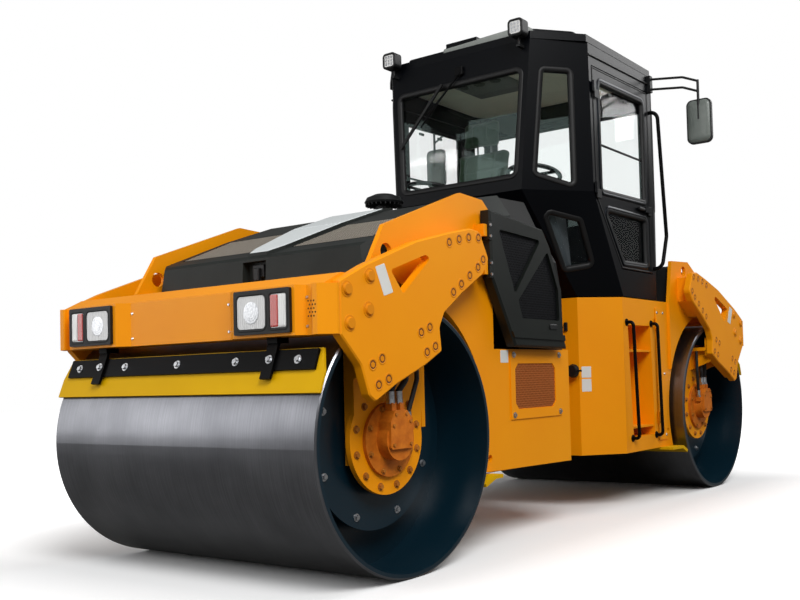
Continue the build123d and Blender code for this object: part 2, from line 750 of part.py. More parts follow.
# Outside fittings: grab rails, work lamps and mirrors
def hand_rails():
    points = [
        (-985, cab_half, 1570), (-985, cab_half + 62, 1570), (-1075, cab_half + 62, 1800),
        (-985, cab_half + 62, 2650), (-985, cab_half, 2650),
    ]
    return both_sides(together(bent_bar(points, 13, 50), ladder_rails()))


def work_lamps():
    lamp = fillet(block((196, 262), (440, 545), (2905, 3010)).edges().filter_by(Axis.X), 26)
    lamp += post(9, 215, 490, 2860, 2910)
    lamp += block((174.6, 230), (478, 502), (2850, 2864))
    return both_sides(lamp)


def mirrors():
    body = block((-1006, -968), (cab_half, cab_half + 26), (2790, 2904))
    for z in (2812, 2882):
        points = [(-990, cab_half + 20, z), (-1020, 1020, z - 20), (-1040, 1120, z - 60)]
        body += bent_bar(points, 8, 60)
    body += post(9, -1040, 1120, 2560, 2830)
    head = fillet(block((-1072, -1046), (1030, 1205), (2400, 2700)).edges().filter_by(Axis.X), 40)
    return both_sides(body + head)


# Rear tank: the water tank over the rear drum
def rear_tank():
    outline = [(-1264, 1320), (-1264, 1620), (-1660, 1560), (-1860, 1500), (-1975, 1320)]
    body = slab_xz(outline, -side_inner_y + 5, side_inner_y - 5, 30)
    cap = Pos(-1450, 0, 1600) * Cylinder(70, 70)
    return body + cap


nodes = {
    "front_chassis": front_chassis(),
    "front_side_plates": front_side_plates(),
    "engine": engine(),
    "cowl": cowl(),
    "air_cleaner": air_cleaner(),
    "vent_panels": vent_panels(),
    "front_arms": both_sides(arm()),
    "front_beam": beam(),
    "front_lamps": lamp_panels(),
    "front_lamp_glass": lamp_glass(),
    "front_yokes": both_sides(yoke()),
    "front_motors": both_sides(motor()),
    "front_hoses": both_sides(hoses()),
    "front_scrapers": scrapers(front_low_blade),
    "front_scraper_bar": scraper_bar(),
    "front_drum": drum(),
    "hood": hood_shell(),
    "hood_grilles": hood_grilles(),
    "engine_door_left": engine_door(),
    "engine_door_right": other_side(engine_door()),
    "rear_chassis": rear_chassis(),
    "rear_side_plates": rear_side_plates(),
    "service_hatch_left": service_hatch(),
    "service_hatch_right": other_side(service_hatch()),
    "cab_frame": cab_frame(),
    "cab_roof": cab_roof(),
    "cab_glass": cab_glass(),
    "cab_door_left": cab_door(),
    "cab_door_left_glass": cab_door_glass(),
    "cab_door_right": other_side(cab_door()),
    "cab_door_right_glass": other_side(cab_door_glass()),
    "seat_base": seat_base(),
    "seat_cushion": seat_cushion(),
    "seat_back": seat_back(),
    "console": console(),
    "steering_wheel_right": steering_wheel(wheel_right_y),
    "steering_wheel_left": steering_wheel(wheel_left_y),
    "hand_rails": hand_rails(),
    "work_lamps": work_lamps(),
    "mirrors": mirrors(),
    "rear_tank": rear_tank(),
}
rear_from_front = {
    "rear_arms": "front_arms", "rear_beam": "front_beam", "rear_lamps": "front_lamps",
    "rear_lamp_glass": "front_lamp_glass", "rear_yokes": "front_yokes", "rear_motors": "front_motors",
    "rear_hoses": "front_hoses", "rear_scraper_bar": "front_scraper_bar", "rear_drum": "front_drum",
}
for rear_name, front_name in rear_from_front.items():
    nodes[rear_name] = other_end(nodes[front_name])
nodes["rear_scrapers"] = other_end(scrapers(rear_low_blade))
for name, shape in nodes.items():
    export_step(shape, f"parts/{name}.step")
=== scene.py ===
import math

import bmesh
import bpy
from mathutils import Matrix, Vector


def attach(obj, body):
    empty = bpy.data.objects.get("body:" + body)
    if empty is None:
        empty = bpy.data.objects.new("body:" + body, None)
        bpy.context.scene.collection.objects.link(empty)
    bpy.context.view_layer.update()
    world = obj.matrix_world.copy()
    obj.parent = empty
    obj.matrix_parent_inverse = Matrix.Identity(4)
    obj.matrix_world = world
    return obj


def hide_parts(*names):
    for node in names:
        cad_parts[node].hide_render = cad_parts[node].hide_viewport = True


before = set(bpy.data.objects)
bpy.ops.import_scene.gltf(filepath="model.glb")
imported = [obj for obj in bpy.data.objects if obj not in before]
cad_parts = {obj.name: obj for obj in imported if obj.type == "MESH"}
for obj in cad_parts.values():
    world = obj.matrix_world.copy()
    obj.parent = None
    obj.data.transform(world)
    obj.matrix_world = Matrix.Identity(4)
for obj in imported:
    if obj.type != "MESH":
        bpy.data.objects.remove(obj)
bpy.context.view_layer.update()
print("frame loaded")

# What the two ends and the two sides of the machine are called
endList = [
    {"end": "front", "sign": 1, "body": "front_frame"},
    {"end": "rear", "sign": -1, "body": "rear_frame"},
]
sideList = [{"side": "left", "sign": 1}, {"side": "right", "sign": -1}]


def linearColour(code):
    channels = [int(code[i:i + 2], 16) / 255 for i in (1, 3, 5)]
    return [c / 12.92 if c <= 0.04045 else ((c + 0.055) / 1.055) ** 2.4 for c in channels] + [1.0]


def addNode(material, kind, settings=None, inputs=None):
    node = material.node_tree.nodes.new(kind)
    for name, value in (settings or {}).items():
        setattr(node, name, value)
    for name, value in (inputs or {}).items():
        if isinstance(value, bpy.types.NodeSocket):
            material.node_tree.links.new(value, node.inputs[name])
        else:
            node.inputs[name].default_value = value
    return node


def newMaterial(name):
    material = bpy.data.materials.new(name)
    material.use_nodes = True
    material.node_tree.nodes.clear()
    return material


def closeMaterial(material, inputs):
    shader = addNode(material, "ShaderNodeBsdfPrincipled", inputs=inputs)
    addNode(material, "ShaderNodeOutputMaterial", inputs={"Surface": shader.outputs[0]})
    return material


def fineBump(material, size, depth, detail=2.0):
    # size is the grain in metres, depth the height of the bump in metres
    place = addNode(material, "ShaderNodeTexCoord")
    grain = addNode(material, "ShaderNodeTexNoise", inputs={
        "Vector": place.outputs["Object"], "Scale": 1 / size, "Detail": detail})
    bump = addNode(material, "ShaderNodeBump", inputs={
        "Height": grain.outputs[0], "Strength": 0.35, "Distance": depth})
    return bump.outputs[0]


def mottledColour(material, codeLow, codeHigh, size):
    place = addNode(material, "ShaderNodeTexCoord")
    cloud = addNode(material, "ShaderNodeTexNoise", inputs={
        "Vector": place.outputs["Object"], "Scale": 1 / size, "Detail": 4.0, "Roughness": 0.6})
    ramp = addNode(material, "ShaderNodeValToRGB", inputs={"Fac": cloud.outputs[0]})
    ramp.color_ramp.elements[0].position = 0.3
    ramp.color_ramp.elements[0].color = linearColour(codeLow)
    ramp.color_ramp.elements[1].position = 0.7
    ramp.color_ramp.elements[1].color = linearColour(codeHigh)
    return ramp.outputs[0]


# Two-pack enamel sprayed on welded steel plate: an even colour under a soft gloss, with a faint orange peel
def sprayedEnamel(name, codeLow, codeHigh, roughness=0.38, coat=0.25, gloss=0.5):
    material = newMaterial(name)
    return closeMaterial(material, {
        "Base Color": mottledColour(material, codeLow, codeHigh, 0.9), "Roughness": roughness,
        "Specular IOR Level": gloss, "Coat Weight": coat, "Coat Roughness": 0.12,
        "Normal": fineBump(material, 0.006, 0.0004)})


# Injection-moulded ABS with a spark-eroded grain: a dull even colour with soft broad highlights
def mouldedPlastic(name, codeLow, codeHigh, roughness=0.48, grain=0.003, gloss=0.35):
    material = newMaterial(name)
    return closeMaterial(material, {
        "Base Color": mottledColour(material, codeLow, codeHigh, 0.25), "Roughness": roughness,
        "Specular IOR Level": gloss,
        "Normal": fineBump(material, grain, 0.0005, 3.0)})


# Rolled and machined drum plate, blank steel outside and dark primer inside, seen in fine turning lines
def rolledDrumSteel(name, axleX):
    material = newMaterial(name)
    place = addNode(material, "ShaderNodeTexCoord")
    centred = addNode(material, "ShaderNodeMapping", inputs={
        "Vector": place.outputs["Object"], "Location": (-axleX, 0.0, -0.6)})
    split = addNode(material, "ShaderNodeSeparateXYZ", inputs={"Vector": centred.outputs[0]})
    flat = addNode(material, "ShaderNodeCombineXYZ", inputs={
        "X": split.outputs["X"], "Y": split.outputs["Z"]})
    radius = addNode(material, "ShaderNodeVectorMath", {"operation": "LENGTH"}, {0: flat.outputs[0]})
    outside = addNode(material, "ShaderNodeMath", {"operation": "GREATER_THAN"}, {
        0: radius.outputs["Value"], 1: 0.5905})
    turn = addNode(material, "ShaderNodeMath", {"operation": "ARCTAN2"}, {
        0: split.outputs["Z"], 1: split.outputs["X"]})
    # Turning lines are drawn 4 mm apart, coarser than the real half millimetre, so that they show
    lines = addNode(material, "ShaderNodeCombineXYZ", inputs={"X": turn.outputs[0], "Y": split.outputs["Y"]})
    stretched = addNode(material, "ShaderNodeMapping", inputs={
        "Vector": lines.outputs[0], "Scale": (1.5, 250.0, 1.0)})
    streaks = addNode(material, "ShaderNodeTexNoise", inputs={
        "Vector": stretched.outputs[0], "Scale": 1.0, "Detail": 3.0})
    clouds = addNode(material, "ShaderNodeTexNoise", inputs={
        "Vector": place.outputs["Object"], "Scale": 5.0, "Detail": 5.0})
    mixed = addNode(material, "ShaderNodeMath", {"operation": "MULTIPLY"}, {
        0: streaks.outputs[0], 1: clouds.outputs[0]})
    steelTone = addNode(material, "ShaderNodeValToRGB", inputs={"Fac": mixed.outputs[0]})
    steelTone.color_ramp.elements[0].position = 0.1
    steelTone.color_ramp.elements[0].color = linearColour("#6A6B70")
    steelTone.color_ramp.elements[1].position = 0.45
    steelTone.color_ramp.elements[1].color = linearColour("#85868B")
    colour = addNode(material, "ShaderNodeMix", {"data_type": "RGBA"}, {
        "Factor": outside.outputs[0], "A": linearColour("#06202C"), "B": steelTone.outputs[0]})
    rough = addNode(material, "ShaderNodeMapRange", inputs={
        "Value": streaks.outputs[0], "To Min": 0.26, "To Max": 0.34})
    bump = addNode(material, "ShaderNodeBump", inputs={
        "Height": streaks.outputs[0], "Strength": 0.25, "Distance": 0.0003})
    return closeMaterial(material, {
        "Base Color": colour.outputs["Result"], "Metallic": outside.outputs[0],
        "Roughness": rough.outputs[0], "Normal": bump.outputs[0]})


# Sand-cast iron, bare or under thin paint: rough, uneven, with little gloss
def castIron(name, codeLow, codeHigh):
    material = newMaterial(name)
    return closeMaterial(material, {
        "Base Color": mottledColour(material, codeLow, codeHigh, 0.05), "Roughness": 0.55,
        "Specular IOR Level": 0.25, "Normal": fineBump(material, 0.004, 0.0012, 4.0)})


# Wrapped hydraulic rubber hose: black, matt, with the cloth print of its cover
def wrappedRubber(name):
    material = newMaterial(name)
    return closeMaterial(material, {
        "Base Color": mottledColour(material, "#0B0B0C", "#17171A", 0.02), "Roughness": 0.62,
        "Normal": fineBump(material, 0.002, 0.0006)})


# Tempered cab glass, clean and slightly green: most light goes straight through it, as through any thin
# pane, and the rest bends and mirrors
def temperedGlass(name, code):
    material = newMaterial(name)
    return closeMaterial(material, {
        "Base Color": linearColour(code), "Transmission Weight": 1.0, "Roughness": 0.0, "IOR": 1.45,
        "Alpha": 0.08})


# Moulded acrylic lamp lens with flutes: bright, with broken reflections
def flutedAcrylic(name, code, fluteWidth, transmission):
    material = newMaterial(name)
    place = addNode(material, "ShaderNodeTexCoord")
    flutes = addNode(material, "ShaderNodeTexWave", {"bands_direction": "Y"}, {
        "Vector": place.outputs["Object"], "Scale": 0.314 / fluteWidth, "Distortion": 1.5, "Detail": 2.0})
    bump = addNode(material, "ShaderNodeBump", inputs={
        "Height": flutes.outputs[1], "Strength": 0.6, "Distance": 0.002})
    return closeMaterial(material, {
        "Base Color": linearColour(code), "Roughness": 0.08, "IOR": 1.49,
        "Transmission Weight": transmission, "Coat Weight": 1.0, "Normal": bump.outputs[0]})


# Plated or tinted steel of fasteners, punched sheets and door frames: a metal sheen, a little cloudy
def zincPlate(name, code, roughness=0.32, codeHigh="#D9DADC"):
    material = newMaterial(name)
    return closeMaterial(material, {
        "Base Color": mottledColour(material, code, codeHigh, 0.01), "Metallic": 1.0, "Roughness": roughness,
        "Normal": fineBump(material, 0.002, 0.0002)})


# Woven polyester of the seat and the headliner: yarns 2.5 mm apart, drawn at 4 mm so that they show,
# with a soft sheen
def wovenCloth(name, codeLow, codeHigh):
    material = newMaterial(name)
    place = addNode(material, "ShaderNodeTexCoord")
    warp = addNode(material, "ShaderNodeTexWave", {"bands_direction": "Y"}, {
        "Vector": place.outputs["Object"], "Scale": 80.0, "Distortion": 0.4})
    weft = addNode(material, "ShaderNodeTexWave", {"bands_direction": "Z"}, {
        "Vector": place.outputs["Object"], "Scale": 80.0, "Distortion": 0.4})
    both = addNode(material, "ShaderNodeMath", {"operation": "MAXIMUM"}, {
        0: warp.outputs[1], 1: weft.outputs[1]})
    bump = addNode(material, "ShaderNodeBump", inputs={
        "Height": both.outputs[0], "Strength": 0.5, "Distance": 0.001})
    return closeMaterial(material, {
        "Base Color": mottledColour(material, codeLow, codeHigh, 0.03), "Roughness": 0.85,
        "Sheen Weight": 0.3, "Normal": bump.outputs[0]})


# Silvered mirror glass: a sharp, slightly green reflection
def silveredGlass(name):
    material = newMaterial(name)
    return closeMaterial(material, {
        "Base Color": linearColour("#C9D0CC"), "Metallic": 1.0, "Roughness": 0.04,
        "Normal": fineBump(material, 0.2, 0.0002)})


yellowEnamel = sprayedEnamel("sprayedYellowEnamel", "#F29400", "#F89E00", 0.46, 0.04, 0.2)
bladeEnamel = sprayedEnamel("sprayedMustardEnamel", "#CE9E00", "#DAAA02", 0.55, 0.0, 0.1)
blackEnamel = sprayedEnamel("sprayedBlackEnamel", "#050506", "#09090A", 0.45, 0.0, 0.08)
cabEnamel = sprayedEnamel("sprayedCabEnamel", "#020306", "#05070B", 0.34, 0.0, 0.12)
screwEnamel = sprayedEnamel("sprayedScrewEnamel", "#DC8400", "#E89000", 0.46, 0.04, 0.2)
# Painted shade: a dark brown disc inside each socket seat on the arms stands for the shaded bottom of the
# recess
shadowEnamel = sprayedEnamel("paintedRecessShade", "#5A2A02", "#6A3404", 0.6, 0.0)
spineEnamel = sprayedEnamel("sprayedGreyEnamel", "#DCE2E3", "#E8EEEE", 0.32, 0.2)
hoodPlastic = mouldedPlastic("mouldedHoodPlastic", "#191C1A", "#222624", 0.5, 0.003, 0.2)
trimPlastic = mouldedPlastic("mouldedTrimPlastic", "#0C0D0E", "#141516", 0.5)
interiorPlastic = mouldedPlastic("mouldedInteriorPlastic", "#34383A", "#40454A", 0.6)
doorPlastic = mouldedPlastic("mouldedDoorPlastic", "#121513", "#191D1A", 0.42, 0.004, 0.25)
tankPlastic = mouldedPlastic("mouldedTankPlastic", "#17191A", "#1F2223", 0.5, 0.004)
frontDrumSteel = rolledDrumSteel("rolledDrumSteelFront", 1.8)
rearDrumSteel = rolledDrumSteel("rolledDrumSteelRear", -1.8)
motorIron = castIron("paintedCastIron", "#B85E10", "#D87A1C")
engineIron = castIron("bareCastIron", "#3A3C3E", "#4A4C4E")
hoseRubber = wrappedRubber("wrappedHoseRubber")
cabGlass = temperedGlass("temperedCabGlass", "#A8D4CA")
clearLens = flutedAcrylic("flutedClearAcrylic", "#E8E8E8", 0.012, 0.35)
redLens = flutedAcrylic("flutedRedAcrylic", "#C8362E", 0.008, 0.2)
zincSteel = zincPlate("zincPlatedSteel", "#A9ABAF")
seatCloth = wovenCloth("wovenSeatCloth", "#2C4A30", "#38563C")
mirrorGlass = silveredGlass("silveredMirrorGlass")
mirrorShell = mouldedPlastic("mouldedMirrorShell", "#5A605C", "#747A75", 0.3)
consolePlastic = mouldedPlastic("mouldedConsolePlastic", "#6B6D68", "#787A75", 0.55)
gasketRubber = mouldedPlastic("extrudedGasketRubber", "#060607", "#0B0B0C", 0.5, 0.002)
# Painted shade: near-black discs put where the buzzer holes are, for the shade inside them
buzzerHoleShade = mouldedPlastic("shadowedHoleBlack", "#020202", "#040404", 0.9)
sheetBlack = zincPlate("punchedBlackSheet", "#1C1D21", 0.5, "#25262B")
copperSheet = zincPlate("punchedCopperSheet", "#DC8A4A", 0.46, "#EC9C5A")
ironBolt = castIron("paintedBoltIron", "#9A5A1A", "#BE7628")
sprayedAluminium = zincPlate("anodisedDoorFrame", "#1B1D20", 0.35, "#24272B")
whiteLens = flutedAcrylic("mouldedWhiteAcrylic", "#F2F2F0", 0.010, 0.25)
plateFilm = mouldedPlastic("blankPlateFilm", "#D8D8D4", "#E4E4E0", 0.35)
creamLiner = wovenCloth("feltedHeadliner", "#EEEBCF", "#F6F3DA")
meshGrey = zincPlate("punchedGreySheet", "#C6BDB0", 0.55, "#D4CBBE")
# Painted shade behind the grilles: flat near-black sheets behind the door and hood sheets, and a dark
# orange-brown sheet behind the copper vent sheet for the shaded louvres
grilleShadeBlack = mouldedPlastic("paintedGrilleShadeBlack", "#08090A", "#0C0D0F", 0.8)
grilleShadeBrown = mouldedPlastic("paintedGrilleShadeBrown", "#9A4A10", "#AA5616", 0.8)
cowlPlastic = mouldedPlastic("mouldedCowlPlastic", "#050606", "#090A0A", 0.6, 0.003, 0.2)
roofPlastic = mouldedPlastic("mouldedRoofPlastic", "#7C807C", "#8A8E8A", 0.5)
print("materials made")

nodeFinish = {
    "front_chassis": yellowEnamel, "rear_chassis": yellowEnamel, "front_side_plates": yellowEnamel,
    "rear_side_plates": yellowEnamel, "front_arms": yellowEnamel,
    "rear_arms": yellowEnamel, "front_beam": yellowEnamel, "rear_beam": yellowEnamel,
    "front_yokes": yellowEnamel, "rear_yokes": yellowEnamel, "vent_panels": yellowEnamel,
    "service_hatch_left": yellowEnamel, "service_hatch_right": yellowEnamel,
    "front_scrapers": bladeEnamel, "rear_scrapers": bladeEnamel,
    "front_scraper_bar": blackEnamel, "rear_scraper_bar": blackEnamel,
    "front_lamps": trimPlastic, "rear_lamps": trimPlastic,
    "front_lamp_glass": clearLens, "rear_lamp_glass": clearLens,
    "front_drum": frontDrumSteel, "rear_drum": rearDrumSteel,
    "front_motors": motorIron, "rear_motors": motorIron,
    "front_hoses": hoseRubber, "rear_hoses": hoseRubber,
    "hood": hoodPlastic, "hood_grilles": trimPlastic, "cowl": cowlPlastic, "air_cleaner": trimPlastic,
    "engine": engineIron, "engine_door_left": doorPlastic, "engine_door_right": doorPlastic,
    "cab_frame": cabEnamel, "cab_roof": cabEnamel, "cab_glass": cabGlass,
    "cab_door_left": cabEnamel, "cab_door_right": cabEnamel,
    "cab_door_left_glass": cabGlass, "cab_door_right_glass": cabGlass,
    "seat_base": interiorPlastic, "seat_cushion": seatCloth, "seat_back": seatCloth,
    "console": interiorPlastic, "steering_wheel_left": trimPlastic, "steering_wheel_right": trimPlastic,
    "hand_rails": blackEnamel, "work_lamps": trimPlastic, "mirrors": trimPlastic, "rear_tank": tankPlastic,
}
for nodeName, finish in nodeFinish.items():
    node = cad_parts[nodeName]
    node.data.materials.clear()
    node.data.materials.append(finish)
print("frame finished")


def finishPiece(name, shape, finish, body, smooth=False):
    bmesh.ops.recalc_face_normals(shape, faces=shape.faces)
    data = bpy.data.meshes.new(name)
    shape.to_mesh(data)
    shape.free()
    for face in data.polygons:
        face.use_smooth = smooth
    data.materials.append(finish)
    piece = bpy.data.objects.new(name, data)
    bpy.context.scene.collection.objects.link(piece)
    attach(piece, body)
    return piece


def facing(place, normal):
    return Matrix.Translation(place) @ Vector(normal).to_track_quat("Z", "Y").to_matrix().to_4x4()


def addHead(shape, place, normal, radius, height, segments=6, taper=0.88):
    bmesh.ops.create_cone(
        shape, cap_ends=True, cap_tris=False, segments=segments, radius1=radius, radius2=radius * taper,
        depth=height, matrix=facing(place, normal) @ Matrix.Translation((0, 0, height / 2)))


def roundedLoop(corners, grow, radius, steps=5):
    # Corners of a convex outline in its own plane, moved outwards by grow and rounded
    middle = sum((Vector(c) for c in corners), Vector((0, 0))) / len(corners)
    count = len(corners)
    loop = []
    for index in range(count):
        before, here, after = (Vector(corners[(index + shift) % count]) for shift in (-1, 0, 1))
        normals = []
        for start, end in ((before, here), (here, after)):
            edge = (end - start).normalized()
            normal = Vector((edge.y, -edge.x))
            normals.append(normal if normal.dot(here - middle) > 0 else -normal)
        spread = normals[0] + normals[1]
        reach = 1 + normals[0].dot(normals[1])
        bend = max(radius + grow, 0.0008)
        centre = here + spread * ((grow - bend) / reach)
        for step in range(steps + 1):
            direction = normals[0].lerp(normals[1], step / steps).normalized()
            loop.append(centre + direction * bend)
    return loop


def addMoulding(shape, corners, outward, section, radius, cap=False):
    # A rounded frame on a flat wall: section lists (grow, height) pairs from the outside in
    origin = Vector(corners[0])
    normal = Vector(outward).normalized()
    along = (Vector(corners[1]) - origin).normalized()
    across = normal.cross(along)
    flat = [((Vector(c) - origin).dot(along), (Vector(c) - origin).dot(across)) for c in corners]
    rings = []
    for grow, height in section:
        rings.append([shape.verts.new(origin + along * p.x + across * p.y + normal * height)
                      for p in roundedLoop(flat, grow, radius)])
    for outer, inner in zip(rings, rings[1:]):
        for index in range(len(outer)):
            following = (index + 1) % len(outer)
            shape.faces.new((outer[index], outer[following], inner[following], inner[index]))
    if cap:
        shape.faces.new(rings[-1])


def addRoundBox(shape, low, high, width, segments=2):
    size = Vector(high) - Vector(low)
    middle = (Vector(high) + Vector(low)) / 2
    made = bmesh.ops.create_cube(
        shape, size=1.0, matrix=Matrix.Translation(middle) @ Matrix.Diagonal((*size, 1)))
    edges = {edge for vert in made["verts"] for edge in vert.link_edges}
    bmesh.ops.bevel(shape, geom=list(edges), offset=width, offset_type="OFFSET", affect="EDGES",
                    segments=segments, profile=0.5, material=-1, clamp_overlap=True)


def addSideBox(shape, sign, spanX, spanY, spanZ, width, segments=2):
    # A rounded box on one side of the machine, with spanY measured outwards from its middle plane
    low, high = sorted(y * sign for y in spanY)
    addRoundBox(shape, (spanX[0], low, spanZ[0]), (spanX[1], high, spanZ[1]), width, segments)


def makeTube(name, points, radius, finish, body):
    curve = bpy.data.curves.new(name, "CURVE")
    curve.dimensions = "3D"
    curve.bevel_depth = radius
    curve.bevel_resolution = 3
    curve.use_fill_caps = True
    spline = curve.splines.new("POLY")
    spline.points.add(len(points) - 1)
    for spot, point in zip(spline.points, points):
        spot.co = (*point, 1.0)
    curve.materials.append(finish)
    tube = bpy.data.objects.new(name, curve)
    bpy.context.scene.collection.objects.link(tube)
    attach(tube, body)
    return tube


def makeMesh(name, outline, place, thick, pitch, wall, finish, body):
    # Perforated sheet of hexagons, cut to an outline in the plane that place carries
    area = sum(a[0] * b[1] - b[0] * a[1] for a, b in zip(outline, outline[1:] + outline[:1]))
    corners = outline if area > 0 else outline[::-1]
    lowU, highU = min(u for u, v in corners), max(u for u, v in corners)
    lowV, highV = min(v for u, v in corners), max(v for u, v in corners)
    rowStep = pitch * math.sqrt(3) / 2
    shape = bmesh.new()
    for row in range(int((highV - lowV) / rowStep) + 2):
        for column in range(int((highU - lowU) / pitch) + 2):
            centre = (lowU + (column + 0.5 * (row % 2)) * pitch, lowV + row * rowStep, 0)
            bmesh.ops.create_circle(shape, cap_ends=True, segments=6, radius=pitch / math.sqrt(3),
                                    matrix=Matrix.Translation(centre))
    cells = shape.faces[:]
    bmesh.ops.inset_individual(shape, faces=cells, thickness=wall / 2)
    bmesh.ops.delete(shape, geom=cells, context="FACES_ONLY")
    bmesh.ops.remove_doubles(shape, verts=shape.verts, dist=pitch * 0.02)
    for start, end in zip(corners, corners[1:] + corners[:1]):
        outward = Vector((end[1] - start[1], start[0] - end[0], 0))
        bmesh.ops.bisect_plane(shape, geom=shape.verts[:] + shape.edges[:] + shape.faces[:],
                               plane_co=(start[0], start[1], 0), plane_no=outward, clear_outer=True)
    raised = bmesh.ops.extrude_face_region(shape, geom=shape.faces[:])
    bmesh.ops.translate(shape, vec=(0, 0, thick), verts=[
        v for v in raised["geom"] if isinstance(v, bmesh.types.BMVert)])
    bmesh.ops.transform(shape, matrix=place, verts=shape.verts)
    return finishPiece(name, shape, finish, body)


def sidePlace(y, sign):
    # Carries (u, v) to (X, Z) on a side of the machine, with w outwards
    return Matrix(((1, 0, 0, 0), (0, 0, sign, sign * y), (0, 1, 0, 0), (0, 0, 0, 1)))


def onSide(points, y, sign):
    return [(x, y * sign, z) for x, z in points]


# Arms: capped bolts at the beam end, socket screws in rows at the frame end and over the yoke
armScrews = {
    "face": 0.925, "capRadius": 0.026, "capHeight": 0.011, "washerRadius": 0.0338, "washerHeight": 0.002,
    "seatRadius": 0.024, "seatSection": [(0.002, 0.0), (0.001, 0.0016), (-0.004, 0.0018), (-0.006, 0.0004)],
    "recessRadius": 0.018, "recessHeight": 0.0004,
    "keyRadius": 0.0132, "keyHeight": 0.0008, "keyLift": 0.0003,
    "caps": [(2.261, 1.229), (2.122, 1.290), (2.248, 1.093), (2.133, 1.152)],
    "sockets": [
        (1.570, 1.483), (1.492, 1.505), (1.415, 1.521), (1.335, 1.528),
        (1.300, 1.427), (1.345, 1.386), (1.414, 1.342), (1.483, 1.297), (1.547, 1.256),
        (1.792, 1.066), (1.730, 1.090), (1.754, 0.980), (1.693, 1.006),
        (2.115, 0.927), (2.056, 0.952), (2.081, 0.844), (2.017, 0.867),
    ],
}


def makeArmScrews():
    for end in endList:
        seats = bmesh.new()
        recessShades = bmesh.new()
        for side in sideList:
            y = armScrews["face"] * side["sign"]
            outward = (0, side["sign"], 0)
            for x, z in armScrews["caps"]:
                place = (x * end["sign"], y, z)
                addHead(seats, place, outward, armScrews["washerRadius"], armScrews["washerHeight"], 24, 0.96)
                addHead(seats, place, outward, armScrews["capRadius"], armScrews["capHeight"], 24, 0.78)
            for x, z in armScrews["sockets"]:
                radius = armScrews["seatRadius"]
                corners = [(x * end["sign"] + du, y, z + dv) for du, dv in (
                    (-radius, -radius), (radius, -radius), (radius, radius), (-radius, radius))]
                addMoulding(seats, corners, outward, armScrews["seatSection"], radius)
                place = (x * end["sign"], y, z)
                # Painted shade: a flat dark disc in place of the shaded bottom of the socket's recess
                addHead(recessShades, place, outward, armScrews["recessRadius"], armScrews["recessHeight"], 24, 1.0)
                place = (x * end["sign"], y + armScrews["keyLift"] * side["sign"], z)
                addHead(seats, place, outward, armScrews["keyRadius"], armScrews["keyHeight"], 6, 0.95)
        finishPiece(end["end"] + "_arm_screws", seats, screwEnamel, end["body"])
        finishPiece(end["end"] + "_arm_screw_shadows", recessShades, shadowEnamel, end["body"])


# Beam: small screws beside the lamp bays, near-black discs of painted shade for the buzzer holes, and the
# bolts of the scraper bar
beamDetails = {
    "face": 2.345, "screws": [(0.790, 1.200), (0.790, 1.085), (0.330, 1.200), (0.330, 1.085)],
    "screwRadius": 0.007, "screwHeight": 0.004, "buzzerFace": 2.3702, "buzzerMiddle": (0.835, 1.152),
    "buzzerPitch": 0.015, "buzzerHole": 0.0036, "buzzerSpan": (0.818, 0.866),
    "barBolts": [-0.749, -0.575, -0.394, -0.019, 0.361, 0.575, 0.728], "hangerBolts": (-0.575, 0.575),
    "barLift": 0.012, "hangerLift": 0.024, "boltRadius": 0.013, "boltHeight": 0.011, "washerRadius": 0.01885,
    "washerHeight": 0.002, "bladeLow": (2.377, 0.822), "bladeHigh": (2.312, 1.000), "boltRise": 0.138,
}


def makeBeamDetails():
    low = Vector((beamDetails["bladeLow"][0], 0, beamDetails["bladeLow"][1]))
    high = Vector((beamDetails["bladeHigh"][0], 0, beamDetails["bladeHigh"][1]))
    rise = (high - low).normalized()
    outward = Vector((rise.z, 0, -rise.x))
    for end in endList:
        sign = end["sign"]
        screws = bmesh.new()
        holes = bmesh.new()
        bolts = bmesh.new()
        for side in sideList:
            for y, z in beamDetails["screws"]:
                place = (beamDetails["face"] * sign, y * side["sign"], z)
                radius = beamDetails["screwRadius"]
                addHead(screws, place, (sign, 0, 0), radius, beamDetails["screwHeight"], 12, 0.7)
        middleY, middleZ = beamDetails["buzzerMiddle"]
        pitch = beamDetails["buzzerPitch"]
        nearest, farthest = beamDetails["buzzerSpan"]
        for row in range(-2, 3):
            for column in range(-1, 2):
                y = middleY + (column + 0.5 * (row % 2)) * pitch
                if y < nearest or y > farthest:
                    continue
                place = (beamDetails["buzzerFace"] * sign, y, middleZ + row * pitch)
                # Painted shade: a near-black disc for the shade inside each buzzer hole
                addHead(holes, place, (sign, 0, 0), beamDetails["buzzerHole"], 0.0005, 12, 1.0)
        for y in beamDetails["barBolts"]:
            lift = beamDetails["hangerLift"] if y in beamDetails["hangerBolts"] else beamDetails["barLift"]
            spot = low + rise * beamDetails["boltRise"] + outward * lift
            place = (spot.x * sign, y, spot.z)
            turned = (outward.x * sign, 0, outward.z)
            addHead(bolts, place, turned, beamDetails["washerRadius"], beamDetails["washerHeight"], 20, 1.0)
            addHead(bolts, place, turned, beamDetails["boltRadius"], beamDetails["boltHeight"], 6, 0.92)
        finishPiece(end["end"] + "_beam_screws", screws, zincSteel, end["body"])
        finishPiece(end["end"] + "_buzzer_hole_shades", holes, buzzerHoleShade, end["body"])
        finishPiece(end["end"] + "_scraper_bolts", bolts, zincSteel, end["body"])


